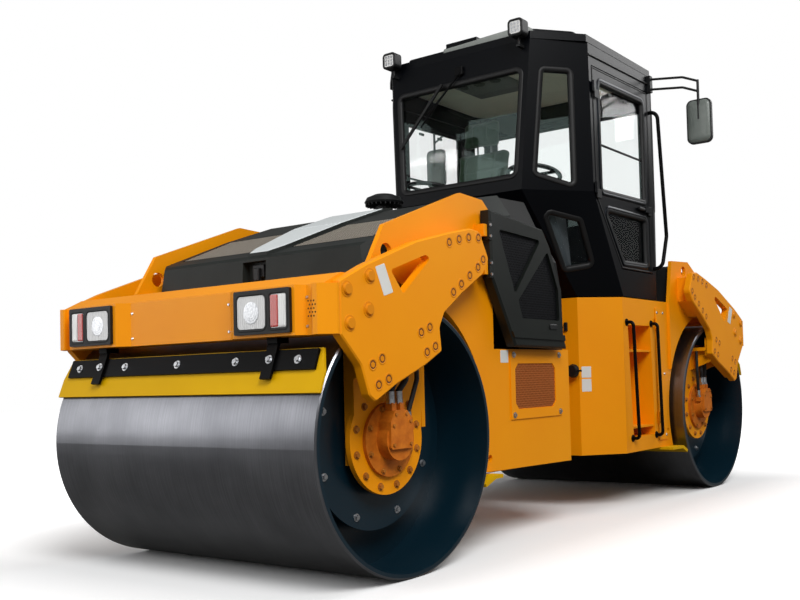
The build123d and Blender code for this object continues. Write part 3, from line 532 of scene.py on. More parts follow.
# Lamps: bezels with a raised lip, a reflector behind the headlamp glass and a two-tone marker
lampDetails = {
    "panelFace": 2.399, "glassFace": 2.397,
    "head": [(0.440, 1.084), (0.606, 1.084), (0.606, 1.220), (0.440, 1.220)],
    "marker": [(0.634, 1.084), (0.726, 1.084), (0.726, 1.220), (0.634, 1.220)],
    "lipSection": [(0.012, 0.0), (0.011, 0.0006), (0.006, 0.0009), (0.001, 0.0006), (-0.002, -0.004)],
    "lipRadii": (0.020, 0.010), "bulb": (0.523, 1.150), "reflectorRadius": 0.046, "reflectorStep": 0.0004,
    "lensSection": [(0.0, 0.0), (-0.001, 0.0016), (-0.006, 0.0025)], "lensHeights": (1.087, 1.217),
    "lenses": [("red", redLens, (0.636, 0.679)), ("white", whiteLens, (0.681, 0.724))], "lensLift": 0.0002,
}


def makeLampDetails():
    for end in endList:
        sign = end["sign"]
        lips = bmesh.new()
        mirrors = bmesh.new()
        for side in sideList:
            outward = (sign, 0, 0)
            for outline, radius in zip((lampDetails["head"], lampDetails["marker"]), lampDetails["lipRadii"]):
                corners = [(lampDetails["panelFace"] * sign, y * side["sign"], z) for y, z in outline]
                addMoulding(lips, corners, outward, lampDetails["lipSection"], radius)
            y, z = lampDetails["bulb"]
            face = lampDetails["glassFace"] + lampDetails["lensLift"]
            for ring in range(4):
                radius = lampDetails["reflectorRadius"] * (1 - ring * 0.24)
                place = ((face + ring * lampDetails["reflectorStep"]) * sign, y * side["sign"], z)
                addHead(mirrors, place, outward, radius, 0.0006, 32, 0.9)
            bottom, top = lampDetails["lensHeights"]
            for tone, finish, (low, high) in lampDetails["lenses"]:
                lens = bmesh.new()
                corners = [(face * sign, y * side["sign"], z) for y, z in (
                    (low, bottom), (high, bottom), (high, top), (low, top))]
                addMoulding(lens, corners, outward, lampDetails["lensSection"], 0.006, True)
                finishPiece(f"{end['end']}_{side['side']}_marker_{tone}", lens, finish, end["body"])
        finishPiece(end["end"] + "_lamp_lips", lips, gasketRubber, end["body"], True)
        finishPiece(end["end"] + "_lamp_reflectors", mirrors, zincSteel, end["body"])


# Grilles: copper-coloured sheet in the vents, black sheet in the engine doors and the hood. The holes
# are drawn 14 to 16 mm apart, coarser than the real 9 mm, so that they show
grilleSheets = {
    "vent": [(0.475, 0.692), (0.825, 0.692), (0.855, 0.722), (0.855, 0.898), (0.825, 0.928), (0.475, 0.928),
             (0.445, 0.898), (0.445, 0.722)],
    "ventPitch": 0.014, "ventWall": 0.0050, "doorPitch": 0.015, "doorWall": 0.0048, "hoodPitch": 0.016,
    "hoodWall": 0.0052, "ventFace": 0.8002, "doorFace": 0.8552, "sheetLift": 0.0006, "sheetThick": 0.0015,
    "doorFields": [
        [(1.068, 1.600), (0.680, 1.584), (0.934, 1.296)],
        [(0.597, 1.525), (0.500, 1.328), (0.493, 1.165), (0.866, 1.165), (0.898, 1.255)],
    ],
    "ventBolts": [(0.397, 0.975), (0.868, 0.975), (0.870, 0.660), (0.397, 0.660)],
    "hoodLow": (1.820, 1.503), "hoodHigh": (1.470, 1.652),
    "hoodField": [(0.148, 1.788), (0.658, 1.788), (0.640, 1.490), (0.222, 1.476)],
}


def addScreen(shape, outline, place):
    # A plain sheet behind the punched sheet, which hides the louvres: painted shade, a flat dark colour in
    # place of the shaded space behind the holes
    shape.faces.new([shape.verts.new(place @ Vector((u, v, 0.0))) for u, v in outline])


def makeGrilles():
    for side in sideList:
        sign = side["sign"]
        name = side["side"]
        brown = bmesh.new()
        face = grilleSheets["ventFace"]
        addScreen(brown, grilleSheets["vent"], sidePlace(face, sign))
        finishPiece(name + "_vent_shade_screen", brown, grilleShadeBrown, "front_frame")
        place = sidePlace(face + grilleSheets["sheetLift"], sign)
        makeMesh(name + "_vent_sheet", grilleSheets["vent"], place, grilleSheets["sheetThick"],
                 grilleSheets["ventPitch"], grilleSheets["ventWall"], copperSheet, "front_frame")
        bolts = bmesh.new()
        for x, z in grilleSheets["ventBolts"]:
            addHead(bolts, (x, 0.806 * sign, z), (0, sign, 0), 0.016, 0.002, 20, 1.0)
            addHead(bolts, (x, 0.808 * sign, z), (0, sign, 0), 0.011, 0.007, 6, 0.9)
        finishPiece(name + "_vent_bolts", bolts, zincSteel, "front_frame")
        for index, field in enumerate(grilleSheets["doorFields"]):
            black = bmesh.new()
            face = grilleSheets["doorFace"]
            addScreen(black, field, sidePlace(face, sign))
            finishPiece(f"{name}_door_shade_screen_{index}", black, grilleShadeBlack, "engine_door_" + name)
            place = sidePlace(face + grilleSheets["sheetLift"], sign)
            makeMesh(f"{name}_door_sheet_{index}", field, place, grilleSheets["sheetThick"],
                     grilleSheets["doorPitch"], grilleSheets["doorWall"], sheetBlack, "engine_door_" + name)
        lowX, lowZ = grilleSheets["hoodLow"]
        highX, highZ = grilleSheets["hoodHigh"]
        rise = Vector((highX - lowX, 0, highZ - lowZ)).normalized()
        outward = Vector((rise.z, 0, -rise.x))
        slant = math.hypot(highX - lowX, highZ - lowZ) / (lowX - highX)
        points = [(y * sign, (lowX - x) * slant) for y, x in grilleSheets["hoodField"]]
        place = Matrix(((0, rise.x, outward.x, lowX + outward.x * 0.0004), (1, 0, 0, 0),
                        (0, rise.z, outward.z, lowZ + outward.z * 0.0004), (0, 0, 0, 1)))
        black = bmesh.new()
        addScreen(black, points, place)
        finishPiece(name + "_hood_shade_screen", black, grilleShadeBlack, "hood")
        place = place @ Matrix.Translation((0, 0, 0.0008))
        makeMesh(name + "_hood_sheet", points, place, grilleSheets["sheetThick"],
                 grilleSheets["hoodPitch"], grilleSheets["hoodWall"], meshGrey, "hood")


# Hood: a pale cover over the spine between the grilles, and a hook latch in the recess at the nose
hoodDetails = {
    "spines": [
        [(1.872, 0.060, 1.4974), (1.800, 0.104, 1.5281), (1.474, 0.176, 1.6673)],
        [(1.467, 0.176, 1.6701), (1.164, 0.190, 1.7776)],
    ],
    "coverSection": [(0.0, -0.001), (-0.001, 0.002), (-0.006, 0.003)],
    "latchLow": (1.863, -0.040, 1.372), "latchHigh": (1.877, 0.040, 1.438), "latchRound": 0.005,
    "hookLow": (1.875, -0.018, 1.356), "hookHigh": (1.893, 0.018, 1.420), "hookRound": 0.006,
}


def makeHoodDetails():
    cover = bmesh.new()
    for edge in hoodDetails["spines"]:
        corners = [(x, -y, z) for x, y, z in edge] + [(x, y, z) for x, y, z in reversed(edge)]
        rise = Vector(edge[-1]) - Vector(edge[0])
        addMoulding(cover, corners, (rise.z, 0, -rise.x), hoodDetails["coverSection"], 0.004, True)
    finishPiece("hood_spine", cover, spineEnamel, "hood")
    latch = bmesh.new()
    addRoundBox(latch, hoodDetails["latchLow"], hoodDetails["latchHigh"], hoodDetails["latchRound"])
    addRoundBox(latch, hoodDetails["hookLow"], hoodDetails["hookHigh"], hoodDetails["hookRound"], 3)
    finishPiece("hood_latch", latch, trimPlastic, "hood")


# Cab panes: a rubber seal round each, proud of the wall and reaching in over the glass
paneSeals = [
    {"outward": (0.9986, 0, 0.0526), "radius": 0.040, "points": [
        (0.1808, -0.480, 2.730), (0.1808, 0.480, 2.730), (0.2154, 0.438, 2.072), (0.2154, -0.438, 2.072)]},
    {"outward": (-0.9989, 0, 0.0473), "radius": 0.040, "points": [
        (-1.1995, -0.630, 2.735), (-1.1995, 0.630, 2.735),
        (-1.2315, 0.640, 2.060), (-1.2315, -0.640, 2.060)]},
]
sealSection = [
    (0.016, 0.0), (0.015, 0.0030), (0.008, 0.0048), (-0.010, 0.0040), (-0.018, -0.004), (-0.020, -0.0195)]


def planeThrough(first, second, third, outward):
    normal = (Vector(second) - Vector(first)).cross(Vector(third) - Vector(first)).normalized()
    return normal if normal.dot(Vector(outward)) > 0 else -normal


def onPlane(point, anchor, normal):
    return Vector(point) - normal * (Vector(point) - Vector(anchor)).dot(normal)


# The chamfer faces of the cab, given by three points of each, and the corners of their panes: the upper
# and lower quarter windows and the rear corner
chamferPanes = [
    {"face": [(0.220, 0.480, 1.985), (-0.138, 0.780, 1.985), (0.170, 0.542, 2.935)],
     "radius": 0.030, "points": [(0.121, 0.582, 2.725), (-0.029, 0.706, 2.725), (-0.044, 0.702, 2.010),
                                 (0.156, 0.536, 2.080)]},
    {"face": [(-0.255, 0.575, 1.357), (-0.138, 0.780, 1.985), (0.220, 0.480, 1.985)],
     "radius": 0.030, "points": [(0.077, 0.540, 1.870), (-0.118, 0.700, 1.812), (-0.275, 0.690, 1.545),
                                 (-0.140, 0.556, 1.515)]},
    {"face": [(-1.010, 0.780, 2.000), (-1.235, 0.690, 2.000), (-1.010, 0.780, 2.100)],
     "radius": 0.030, "points": [(-1.050, 0.765, 2.700), (-1.175, 0.715, 2.700), (-1.185, 0.711, 2.000),
                                 (-1.050, 0.765, 2.000)]},
]
cabMiddle = (-0.5, 0.0, 2.0)


def makePaneSeals():
    shape = bmesh.new()
    for seal in paneSeals:
        addMoulding(shape, seal["points"], seal["outward"], sealSection, seal["radius"])
    for pane in chamferPanes:
        for side in sideList:
            face = [(x, y * side["sign"], z) for x, y, z in pane["face"]]
            normal = planeThrough(*face, Vector(face[0]) - Vector(cabMiddle))
            points = [onPlane((x, y * side["sign"], z), face[0], normal) for x, y, z in pane["points"]]
            addMoulding(shape, points, normal, sealSection, pane["radius"])
    finishPiece("cab_pane_seals", shape, gasketRubber, "rear_frame", True)


# Cab doors: aluminium glazing frames, seals, hinges, the lever handle, the slider rail and its catches
doorDetails = {
    "face": 0.780,
    "upper": [(-0.240, 2.690), (-0.885, 2.705), (-0.885, 2.015), (-0.245, 2.000)],
    "lower": [(-0.275, 1.895), (-0.885, 1.900), (-0.885, 1.580), (-0.525, 1.575)],
    "edge": [(-0.154, 2.768), (-0.959, 2.783), (-0.959, 1.536), (-0.494, 1.536), (-0.174, 1.960)],
    "frameSection": [(0.026, 0.0), (0.024, 0.004), (0.004, 0.005), (0.001, 0.001)],
    "sealSection": [(0.004, 0.0052), (-0.004, 0.0062), (-0.016, 0.0), (-0.018, -0.019)],
    "edgeSection": [(0.0, -0.002), (-0.002, 0.0022), (-0.010, 0.0026), (-0.012, 0.0)],
    "paneRadius": 0.030, "edgeRadius": 0.012,
    "sliderRail": ((-0.876, -0.250), (0.762, 0.770), (2.292, 2.306), 0.002, 2),
    # X, Y outwards, Z, rounding and its segments: two hinge leaves, the latch plate, the lever, two catches
    "furniture": [
        ((-0.215, -0.160), (0.787, 0.796), (2.572, 2.628), 0.003, 2),
        ((-0.215, -0.160), (0.787, 0.796), (1.947, 2.003), 0.003, 2),
        ((-0.955, -0.905), (0.7805, 0.792), (1.926, 1.990), 0.004, 2),
        ((-0.828, -0.745), (0.782, 0.806), (1.946, 1.968), 0.008, 3),
        ((-0.446, -0.394), (0.761, 0.772), (2.638, 2.656), 0.003, 2),
        ((-0.666, -0.614), (0.761, 0.772), (2.643, 2.661), 0.003, 2),
    ],
}


def makeDoorDetails():
    for side in sideList:
        sign = side["sign"]
        body = "cab_door_" + side["side"]
        frames = bmesh.new()
        seals = bmesh.new()
        for outline in (doorDetails["upper"], doorDetails["lower"]):
            corners = onSide(outline, doorDetails["face"], sign)
            addMoulding(frames, corners, (0, sign, 0), doorDetails["frameSection"], doorDetails["paneRadius"])
            addMoulding(seals, corners, (0, sign, 0), doorDetails["sealSection"], doorDetails["paneRadius"])
        edge = onSide(doorDetails["edge"], doorDetails["face"], sign)
        addMoulding(seals, edge, (0, sign, 0), doorDetails["edgeSection"], doorDetails["edgeRadius"])
        addSideBox(seals, sign, *doorDetails["sliderRail"])
        finishPiece(side["side"] + "_door_frames", frames, sprayedAluminium, body, True)
        finishPiece(side["side"] + "_door_seals", seals, gasketRubber, body, True)
        furniture = bmesh.new()
        for spans in doorDetails["furniture"]:
            addSideBox(furniture, sign, *spans)
        finishPiece(side["side"] + "_door_furniture", furniture, trimPlastic, body)


# Cab outside: the cover on the roof, drip rails over the doors and the wiper with its arm
cabTrim = {
    "coverLow": (-0.860, -0.150, 2.951), "coverHigh": (0.134, 0.490, 3.017), "coverRound": 0.020,
    "coverFall": 0.018, "coverTop": 2.98,
    "drip": [(-0.110, 0.7815, 2.832), (-1.005, 0.7815, 2.848)], "dripRadius": 0.007,
    "hub": (0.1775, 0.030, 2.790), "hubRadius": 0.024, "hubDepth": 0.018,
    "motorLow": (0.1800, -0.010, 2.775), "motorHigh": (0.2000, 0.050, 2.830), "motorRound": 0.006,
    "arm": [(0.1935, 0.030, 2.790), (0.212, -0.120, 2.640), (0.222, -0.272, 2.484)], "armRadius": 0.006,
    "link": [(0.1975, 0.046, 2.805), (0.2180, -0.245, 2.535)], "linkRadius": 0.0035,
    "bladeTop": (0.2135, -0.106, 2.737), "bladeTip": (0.2335, -0.439, 2.368),
    "screenNormal": (0.9986, 0, 0.0526),
    # Half width, and how far the near and far faces stand from the blade's line
    "bladeParts": [(0.009, -0.011, -0.001), (0.0035, -0.020, -0.011)],
}


def makeCabTrim():
    cover = bmesh.new()
    addRoundBox(cover, cabTrim["coverLow"], cabTrim["coverHigh"], cabTrim["coverRound"], 4)
    nearY, farY = cabTrim["coverLow"][1], cabTrim["coverHigh"][1]
    for vert in cover.verts:
        if vert.co.z > cabTrim["coverTop"]:
            vert.co.z -= cabTrim["coverFall"] * (farY - vert.co.y) / (farY - nearY)
    finishPiece("roof_cover", cover, roofPlastic, "rear_frame", True)
    for side in sideList:
        points = [(x, y * side["sign"], z) for x, y, z in cabTrim["drip"]]
        makeTube(side["side"] + "_drip_rail", points, cabTrim["dripRadius"], gasketRubber, "rear_frame")
    pivot = bmesh.new()
    addHead(pivot, cabTrim["hub"], (1, 0, 0.05), cabTrim["hubRadius"], cabTrim["hubDepth"], 24, 0.8)
    addRoundBox(pivot, cabTrim["motorLow"], cabTrim["motorHigh"], cabTrim["motorRound"], 3)
    finishPiece("wiper_pivot", pivot, blackEnamel, "rear_frame")
    makeTube("wiper_arm", cabTrim["arm"], cabTrim["armRadius"], blackEnamel, "rear_frame")
    makeTube("wiper_link", cabTrim["link"], cabTrim["linkRadius"], blackEnamel, "rear_frame")
    blade = bmesh.new()
    top = Vector(cabTrim["bladeTop"])
    tip = Vector(cabTrim["bladeTip"])
    along = (tip - top).normalized()
    outward = Vector(cabTrim["screenNormal"])
    across = outward.cross(along).normalized()
    for width, low, high in cabTrim["bladeParts"]:
        corners = [top + across * width, tip + across * width, tip - across * width, top - across * width]
        section = [(0.0, low), (0.0, high * 0.9), (-width * 0.5, high)]
        addMoulding(blade, corners, outward, section, 0.002, True)
    finishPiece("wiper_blade", blade, gasketRubber, "rear_frame")


# Faces of the work lamps and the mirrors
lampFaces = {
    "lamp": [(0.445, 2.910), (0.540, 2.910), (0.540, 3.005), (0.445, 3.005)],
    "lampX": 0.262, "lampRadius": 0.022,
    "bezelSection": [(0.003, -0.004), (0.003, 0.004), (-0.003, 0.006), (-0.010, 0.002), (-0.011, -0.001)],
    "lensSection": [(-0.010, 0.0006), (-0.018, 0.0014)],
    "emitterMiddle": (0.2632, 0.4925, 2.9575), "emitterPitch": 0.022, "emitterRadius": 0.009,
    "mirror": [(1.038, 2.408), (1.197, 2.408), (1.197, 2.692), (1.038, 2.692)], "mirrorRadius": 0.036,
    "glassX": -1.072, "glassSection": [(0.0, 0.0), (-0.001, 0.002), (-0.006, 0.003)],
    "shellX": -1.046, "shellSection": [(0.0, 0.0), (-0.004, 0.005), (-0.030, 0.011), (-0.060, 0.013)],
}


def makeLampFaces():
    bezels = bmesh.new()
    lenses = bmesh.new()
    emitters = bmesh.new()
    for side in sideList:
        corners = [(lampFaces["lampX"], y * side["sign"], z) for y, z in lampFaces["lamp"]]
        addMoulding(bezels, corners, (1, 0, 0), lampFaces["bezelSection"], lampFaces["lampRadius"])
        addMoulding(lenses, corners, (1, 0, 0), lampFaces["lensSection"], lampFaces["lampRadius"], True)
        x, y, z = lampFaces["emitterMiddle"]
        pitch = lampFaces["emitterPitch"]
        for row in range(-1, 2):
            for column in range(-1, 2):
                place = (x, (y + column * pitch) * side["sign"], z + row * pitch)
                addHead(emitters, place, (1, 0, 0), lampFaces["emitterRadius"], 0.0012, 16, 0.7)
    finishPiece("work_lamp_bezels", bezels, trimPlastic, "rear_frame", True)
    finishPiece("work_lamp_lenses", lenses, whiteLens, "rear_frame")
    finishPiece("work_lamp_emitters", emitters, zincSteel, "rear_frame")
    backs = bmesh.new()
    glasses = bmesh.new()
    for side in sideList:
        for shape, x, facingX, section in ((glasses, lampFaces["glassX"], -1, lampFaces["glassSection"]),
                                           (backs, lampFaces["shellX"], 1, lampFaces["shellSection"])):
            corners = [(x, y * side["sign"], z) for y, z in lampFaces["mirror"]]
            addMoulding(shape, corners, (facingX, 0, 0), section, lampFaces["mirrorRadius"], True)
    finishPiece("mirror_glasses", glasses, mirrorGlass, "rear_frame")
    finishPiece("mirror_shells", backs, mirrorShell, "rear_frame", True)


# Cab inside: a cream headliner, a roof console with outlets and a dark band behind the windscreen
interior = {
    "liner": [(0.105, -0.495), (0.105, 0.495), (-0.120, 0.715), (-0.995, 0.715),
              (-1.120, 0.660), (-1.120, -0.660), (-0.995, -0.715), (-0.120, -0.715)],
    "linerSection": [(0.0, 0.0), (0.0, 0.012), (-0.030, 0.026), (-0.080, 0.030)],
    "linerHigh": 2.904, "linerRadius": 0.05,
    "console": [(-0.560, -0.330), (-0.170, -0.330), (-0.170, 0.090), (-0.560, 0.090)],
    "consoleSection": [(0.0, 0.0), (-0.004, 0.018), (-0.020, 0.026)],
    "consoleHigh": 2.875, "consoleRadius": 0.03,
    "outlets": [(-0.240, -0.250, 2.849), (-0.240, -0.120, 2.849), (-0.240, 0.010, 2.849)],
    "outletRadius": 0.040, "outletHeight": 0.006,
    "bandLow": (0.080, -0.500, 2.800), "bandHigh": (0.128, 0.500, 2.872), "bandRound": 0.008,
}


def makeInterior():
    liner = bmesh.new()
    corners = [(x, y, interior["linerHigh"]) for x, y in interior["liner"]]
    addMoulding(liner, corners, (0, 0, -1), interior["linerSection"], interior["linerRadius"], True)
    finishPiece("cab_headliner", liner, creamLiner, "rear_frame", True)
    console = bmesh.new()
    corners = [(x, y, interior["consoleHigh"]) for x, y in interior["console"]]
    addMoulding(console, corners, (0, 0, -1), interior["consoleSection"], interior["consoleRadius"], True)
    finishPiece("cab_roof_console", console, consolePlastic, "rear_frame", True)
    outlets = bmesh.new()
    for place in interior["outlets"]:
        addHead(outlets, place, (0, 0, -1), interior["outletRadius"], interior["outletHeight"], 28, 0.9)
    finishPiece("cab_air_outlets", outlets, trimPlastic, "rear_frame")
    header = bmesh.new()
    addRoundBox(header, interior["bandLow"], interior["bandHigh"], interior["bandRound"])
    finishPiece("cab_header_band", header, trimPlastic, "rear_frame")


# Seat: swollen cloth pads over the cushion, the back and the headrest, with pressed channels
seatPads = [
    {"name": "seat_pad", "replaces": ["seat_cushion"], "low": (-0.740, -0.692, 1.872),
     "high": (-0.280, -0.238, 1.972), "lean": 0.0, "round": 0.035, "cap": 0.014, "face": (0, 0, 1),
     "channels": [("y", -0.600), ("y", -0.330), ("x", -0.420)]},
    {"name": "seat_back_pad", "replaces": ["seat_back"], "low": (-0.752, -0.682, 2.000),
     "high": (-0.662, -0.248, 2.532), "lean": -0.085, "round": 0.032, "cap": 0.014, "face": (1, 0, 0),
     "channels": [("y", -0.590), ("y", -0.340), ("z", 2.200), ("z", 2.380)]},
    {"name": "seat_head_pad", "replaces": [], "low": (-0.790, -0.612, 2.562),
     "high": (-0.716, -0.318, 2.752), "lean": -0.015, "round": 0.028, "cap": 0.010, "face": (1, 0, 0),
     "channels": [("y", -0.530), ("y", -0.400)]},
]
padValues = {
    "voxel": 0.006, "pressure": 4.0, "frames": 20, "channelWidth": 0.012, "channelDepth": 0.007,
    "posts": [(-0.792, -0.525, 2.515), (-0.792, -0.405, 2.515)], "postRadius": 0.007, "postHeight": 0.070,
    "panLow": (-0.758, -0.700, 1.862), "panHigh": (-0.262, -0.230, 1.880), "panRound": 0.006,
}


def swellPad(piece, cap):
    scene = bpy.context.scene
    before = [v.co.copy() for v in piece.data.vertices]
    cloth = piece.modifiers.new("swell", "CLOTH")
    cloth.settings.use_pressure = True
    cloth.settings.uniform_pressure_force = padValues["pressure"]
    cloth.settings.effector_weights.gravity = 0.0
    cloth.settings.quality = 4
    for step in range(1, padValues["frames"] + 1):
        scene.frame_set(step)
    graph = bpy.context.evaluated_depsgraph_get()
    swollen = bpy.data.meshes.new_from_object(piece.evaluated_get(graph))
    piece.modifiers.remove(cloth)
    for vertex, start, end in zip(piece.data.vertices, before, swollen.vertices):
        move = end.co - start
        vertex.co = start + move * min(1.0, cap / move.length) if move.length > 0 else start
    scene.frame_set(1)


def makeSeatPads():
    for pad in seatPads:
        shape = bmesh.new()
        addRoundBox(shape, pad["low"], pad["high"], pad["round"], 4)
        lowZ, highZ = pad["low"][2], pad["high"][2]
        for vert in shape.verts:
            vert.co.x += pad["lean"] * (vert.co.z - lowZ) / (highZ - lowZ)
        piece = finishPiece(pad["name"], shape, seatCloth, "rear_frame", True)
        remesh = piece.modifiers.new("even", "REMESH")
        remesh.mode = "VOXEL"
        remesh.voxel_size = padValues["voxel"]
        graph = bpy.context.evaluated_depsgraph_get()
        evened = bpy.data.meshes.new_from_object(piece.evaluated_get(graph))
        piece.modifiers.remove(remesh)
        piece.data = evened
        swellPad(piece, pad["cap"])
        facingWay = Vector(pad["face"])
        for vertex in piece.data.vertices:
            toward = vertex.normal.dot(facingWay)
            if toward < 0.5:
                continue
            for axis, at in pad["channels"]:
                gap = abs(getattr(vertex.co, axis) - at) / padValues["channelWidth"]
                if gap < 1:
                    vertex.co -= facingWay * padValues["channelDepth"] * (1 - gap * gap) ** 2
        for face in piece.data.polygons:
            face.use_smooth = True
        smooth = piece.modifiers.new("smooth", "SUBSURF")
        smooth.levels = 1
        smooth.render_levels = 1
        if pad["replaces"]:
            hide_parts(*pad["replaces"])
    posts = bmesh.new()
    for place in padValues["posts"]:
        addHead(posts, place, (0, 0, 1), padValues["postRadius"], padValues["postHeight"], 12, 1.0)
    finishPiece("seat_head_posts", posts, zincSteel, "rear_frame")
    pan = bmesh.new()
    addRoundBox(pan, padValues["panLow"], padValues["panHigh"], padValues["panRound"])
    finishPiece("seat_pan", pan, trimPlastic, "rear_frame")


# Motors and drum ends: flange bolts, port fittings, hose ferrules and the bolts of the drive disc
driveDetails = {
    "axle": (1.8, 0.6), "boltHeight": 0.012, "washerScale": 1.35, "washerHeight": 0.0025,
    # How many bolts, the radius of their circle, the face they stand on and the radius of a bolt
    "flangeBolts": (12, 0.212, 0.725, 0.013), "motorBolts": (8, 0.146, 0.743, 0.010),
    "discBolts": (8, 0.360, 0.655, 0.013),
    "coverBolts": [(1.748, 0.580), (1.748, 0.680), (1.775, 0.712),
                   (1.845, 0.712), (1.862, 0.665), (1.862, 0.580)],
    "coverFace": 0.815, "coverRadius": 0.008, "coverHeight": 0.007,
    # X, Z and radius of each hose. The nut and the ferrule on it: radius over the hose's, height at which
    # it starts from the hose's Z, length, sides and taper
    "hoses": [(1.780, 0.762, 0.014), (1.835, 0.762, 0.014), (1.714, 0.668, 0.011)], "hoseY": 0.778,
    "fittings": [(1.55, -0.004, 0.020, 6, 0.95), (1.25, 0.016, 0.034, 20, 0.97)],
}


def makeDriveDetails():
    for end in endList:
        bolts = bmesh.new()
        fittings = bmesh.new()
        turning = bmesh.new()
        for side in sideList:
            outward = (0, side["sign"], 0)
            for ring, shape in (("flangeBolts", bolts), ("motorBolts", bolts), ("discBolts", turning)):
                count, circle, face, radius = driveDetails[ring]
                washer = radius * driveDetails["washerScale"]
                for index in range(count):
                    angle = math.radians(360 / count * (index + 0.5))
                    x = (driveDetails["axle"][0] + circle * math.cos(angle)) * end["sign"]
                    z = driveDetails["axle"][1] + circle * math.sin(angle)
                    place = (x, face * side["sign"], z)
                    addHead(shape, place, outward, washer, driveDetails["washerHeight"], 20, 1.0)
                    addHead(shape, place, outward, radius, driveDetails["boltHeight"], 6, 0.9)
            radius = driveDetails["coverRadius"]
            for x, z in driveDetails["coverBolts"]:
                place = (x * end["sign"], driveDetails["coverFace"] * side["sign"], z)
                addHead(bolts, place, outward, radius, driveDetails["coverHeight"], 6, 0.9)
            y = driveDetails["hoseY"] * side["sign"]
            for x, z, radius in driveDetails["hoses"]:
                for scale, lift, length, segments, taper in driveDetails["fittings"]:
                    place = (x * end["sign"], y, z + lift)
                    addHead(fittings, place, (0, 0, 1), radius * scale, length, segments, taper)
        finishPiece(end["end"] + "_drive_bolts", bolts, ironBolt, end["body"])
        finishPiece(end["end"] + "_hose_fittings", fittings, zincSteel, end["body"])
        finishPiece(end["end"] + "_disc_bolts", turning, zincSteel, end["end"] + "_drum")


# Base: the knob, the latch, the blank plates, hatch bolts and step treads
baseDetails = {
    # Place, direction, radius, height, sides and taper of the knob's shaft, its grip and its pin
    "knob": [
        ((-0.255, 0.545, 0.885), (1, 0, 0), 0.014, 0.030, 20, 1.0),
        ((-0.230, 0.545, 0.885), (1, 0, 0), 0.044, 0.030, 28, 0.8),
        ((-0.211, 0.565, 0.885), (0, 1, 0), 0.006, 0.050, 16, 1.0),
    ],
    "latchLow": (-0.256, 0.478, 1.140), "latchHigh": (-0.241, 0.502, 1.196), "latchRound": 0.004,
    "plateSection": [(0.0, 0.0), (-0.0005, 0.0008), (-0.002, 0.001)], "plateRadius": 0.004,
    # The plates on the chamfer start beside its front corner; the others lie on a side face at Y
    "chamferCorner": (-0.255, 0.575, 0), "chamferAlong": (-0.226, 0.205, 0),
    "chamferPlates": [(0.015, 0.079, 0.840, 0.911), (0.015, 0.079, 0.752, 0.832)],
    "sidePlates": [
        ([(0.912, 0.934), (0.984, 0.934), (0.984, 0.999), (0.912, 0.999)], 0.800),
        ([(2.036, 1.212), (2.088, 1.330), (2.030, 1.349), (1.976, 1.231)], 0.925),
        ([(-2.036, 1.212), (-2.088, 1.330), (-2.030, 1.349), (-1.976, 1.231)], 0.925),
    ],
    "hatchFace": 0.787, "hatchRadius": 0.010, "hatchHeight": 0.004,
    "hatchBolts": [(-1.088, 0.430), (-1.088, 0.850), (-1.088, 1.270), (-0.990, 0.430), (-0.990, 1.270)],
    # Height, and the two ends in X, of the lower and the upper step
    "treads": [(0.512, -0.900, -0.588), (1.012, -0.888, -0.572)], "treadMargin": 0.025,
    "treadRows": 5, "treadColumns": 8, "treadStart": 0.610, "treadPitch": 0.032,
    "studRadius": 0.010, "studHeight": 0.004,
    "railFeet": [(-0.532, 1.190), (-0.572, 0.440), (-0.905, 1.190), (-0.936, 0.440)],
    "footFace": 0.780, "footRadius": 0.024, "footHeight": 0.005,
}


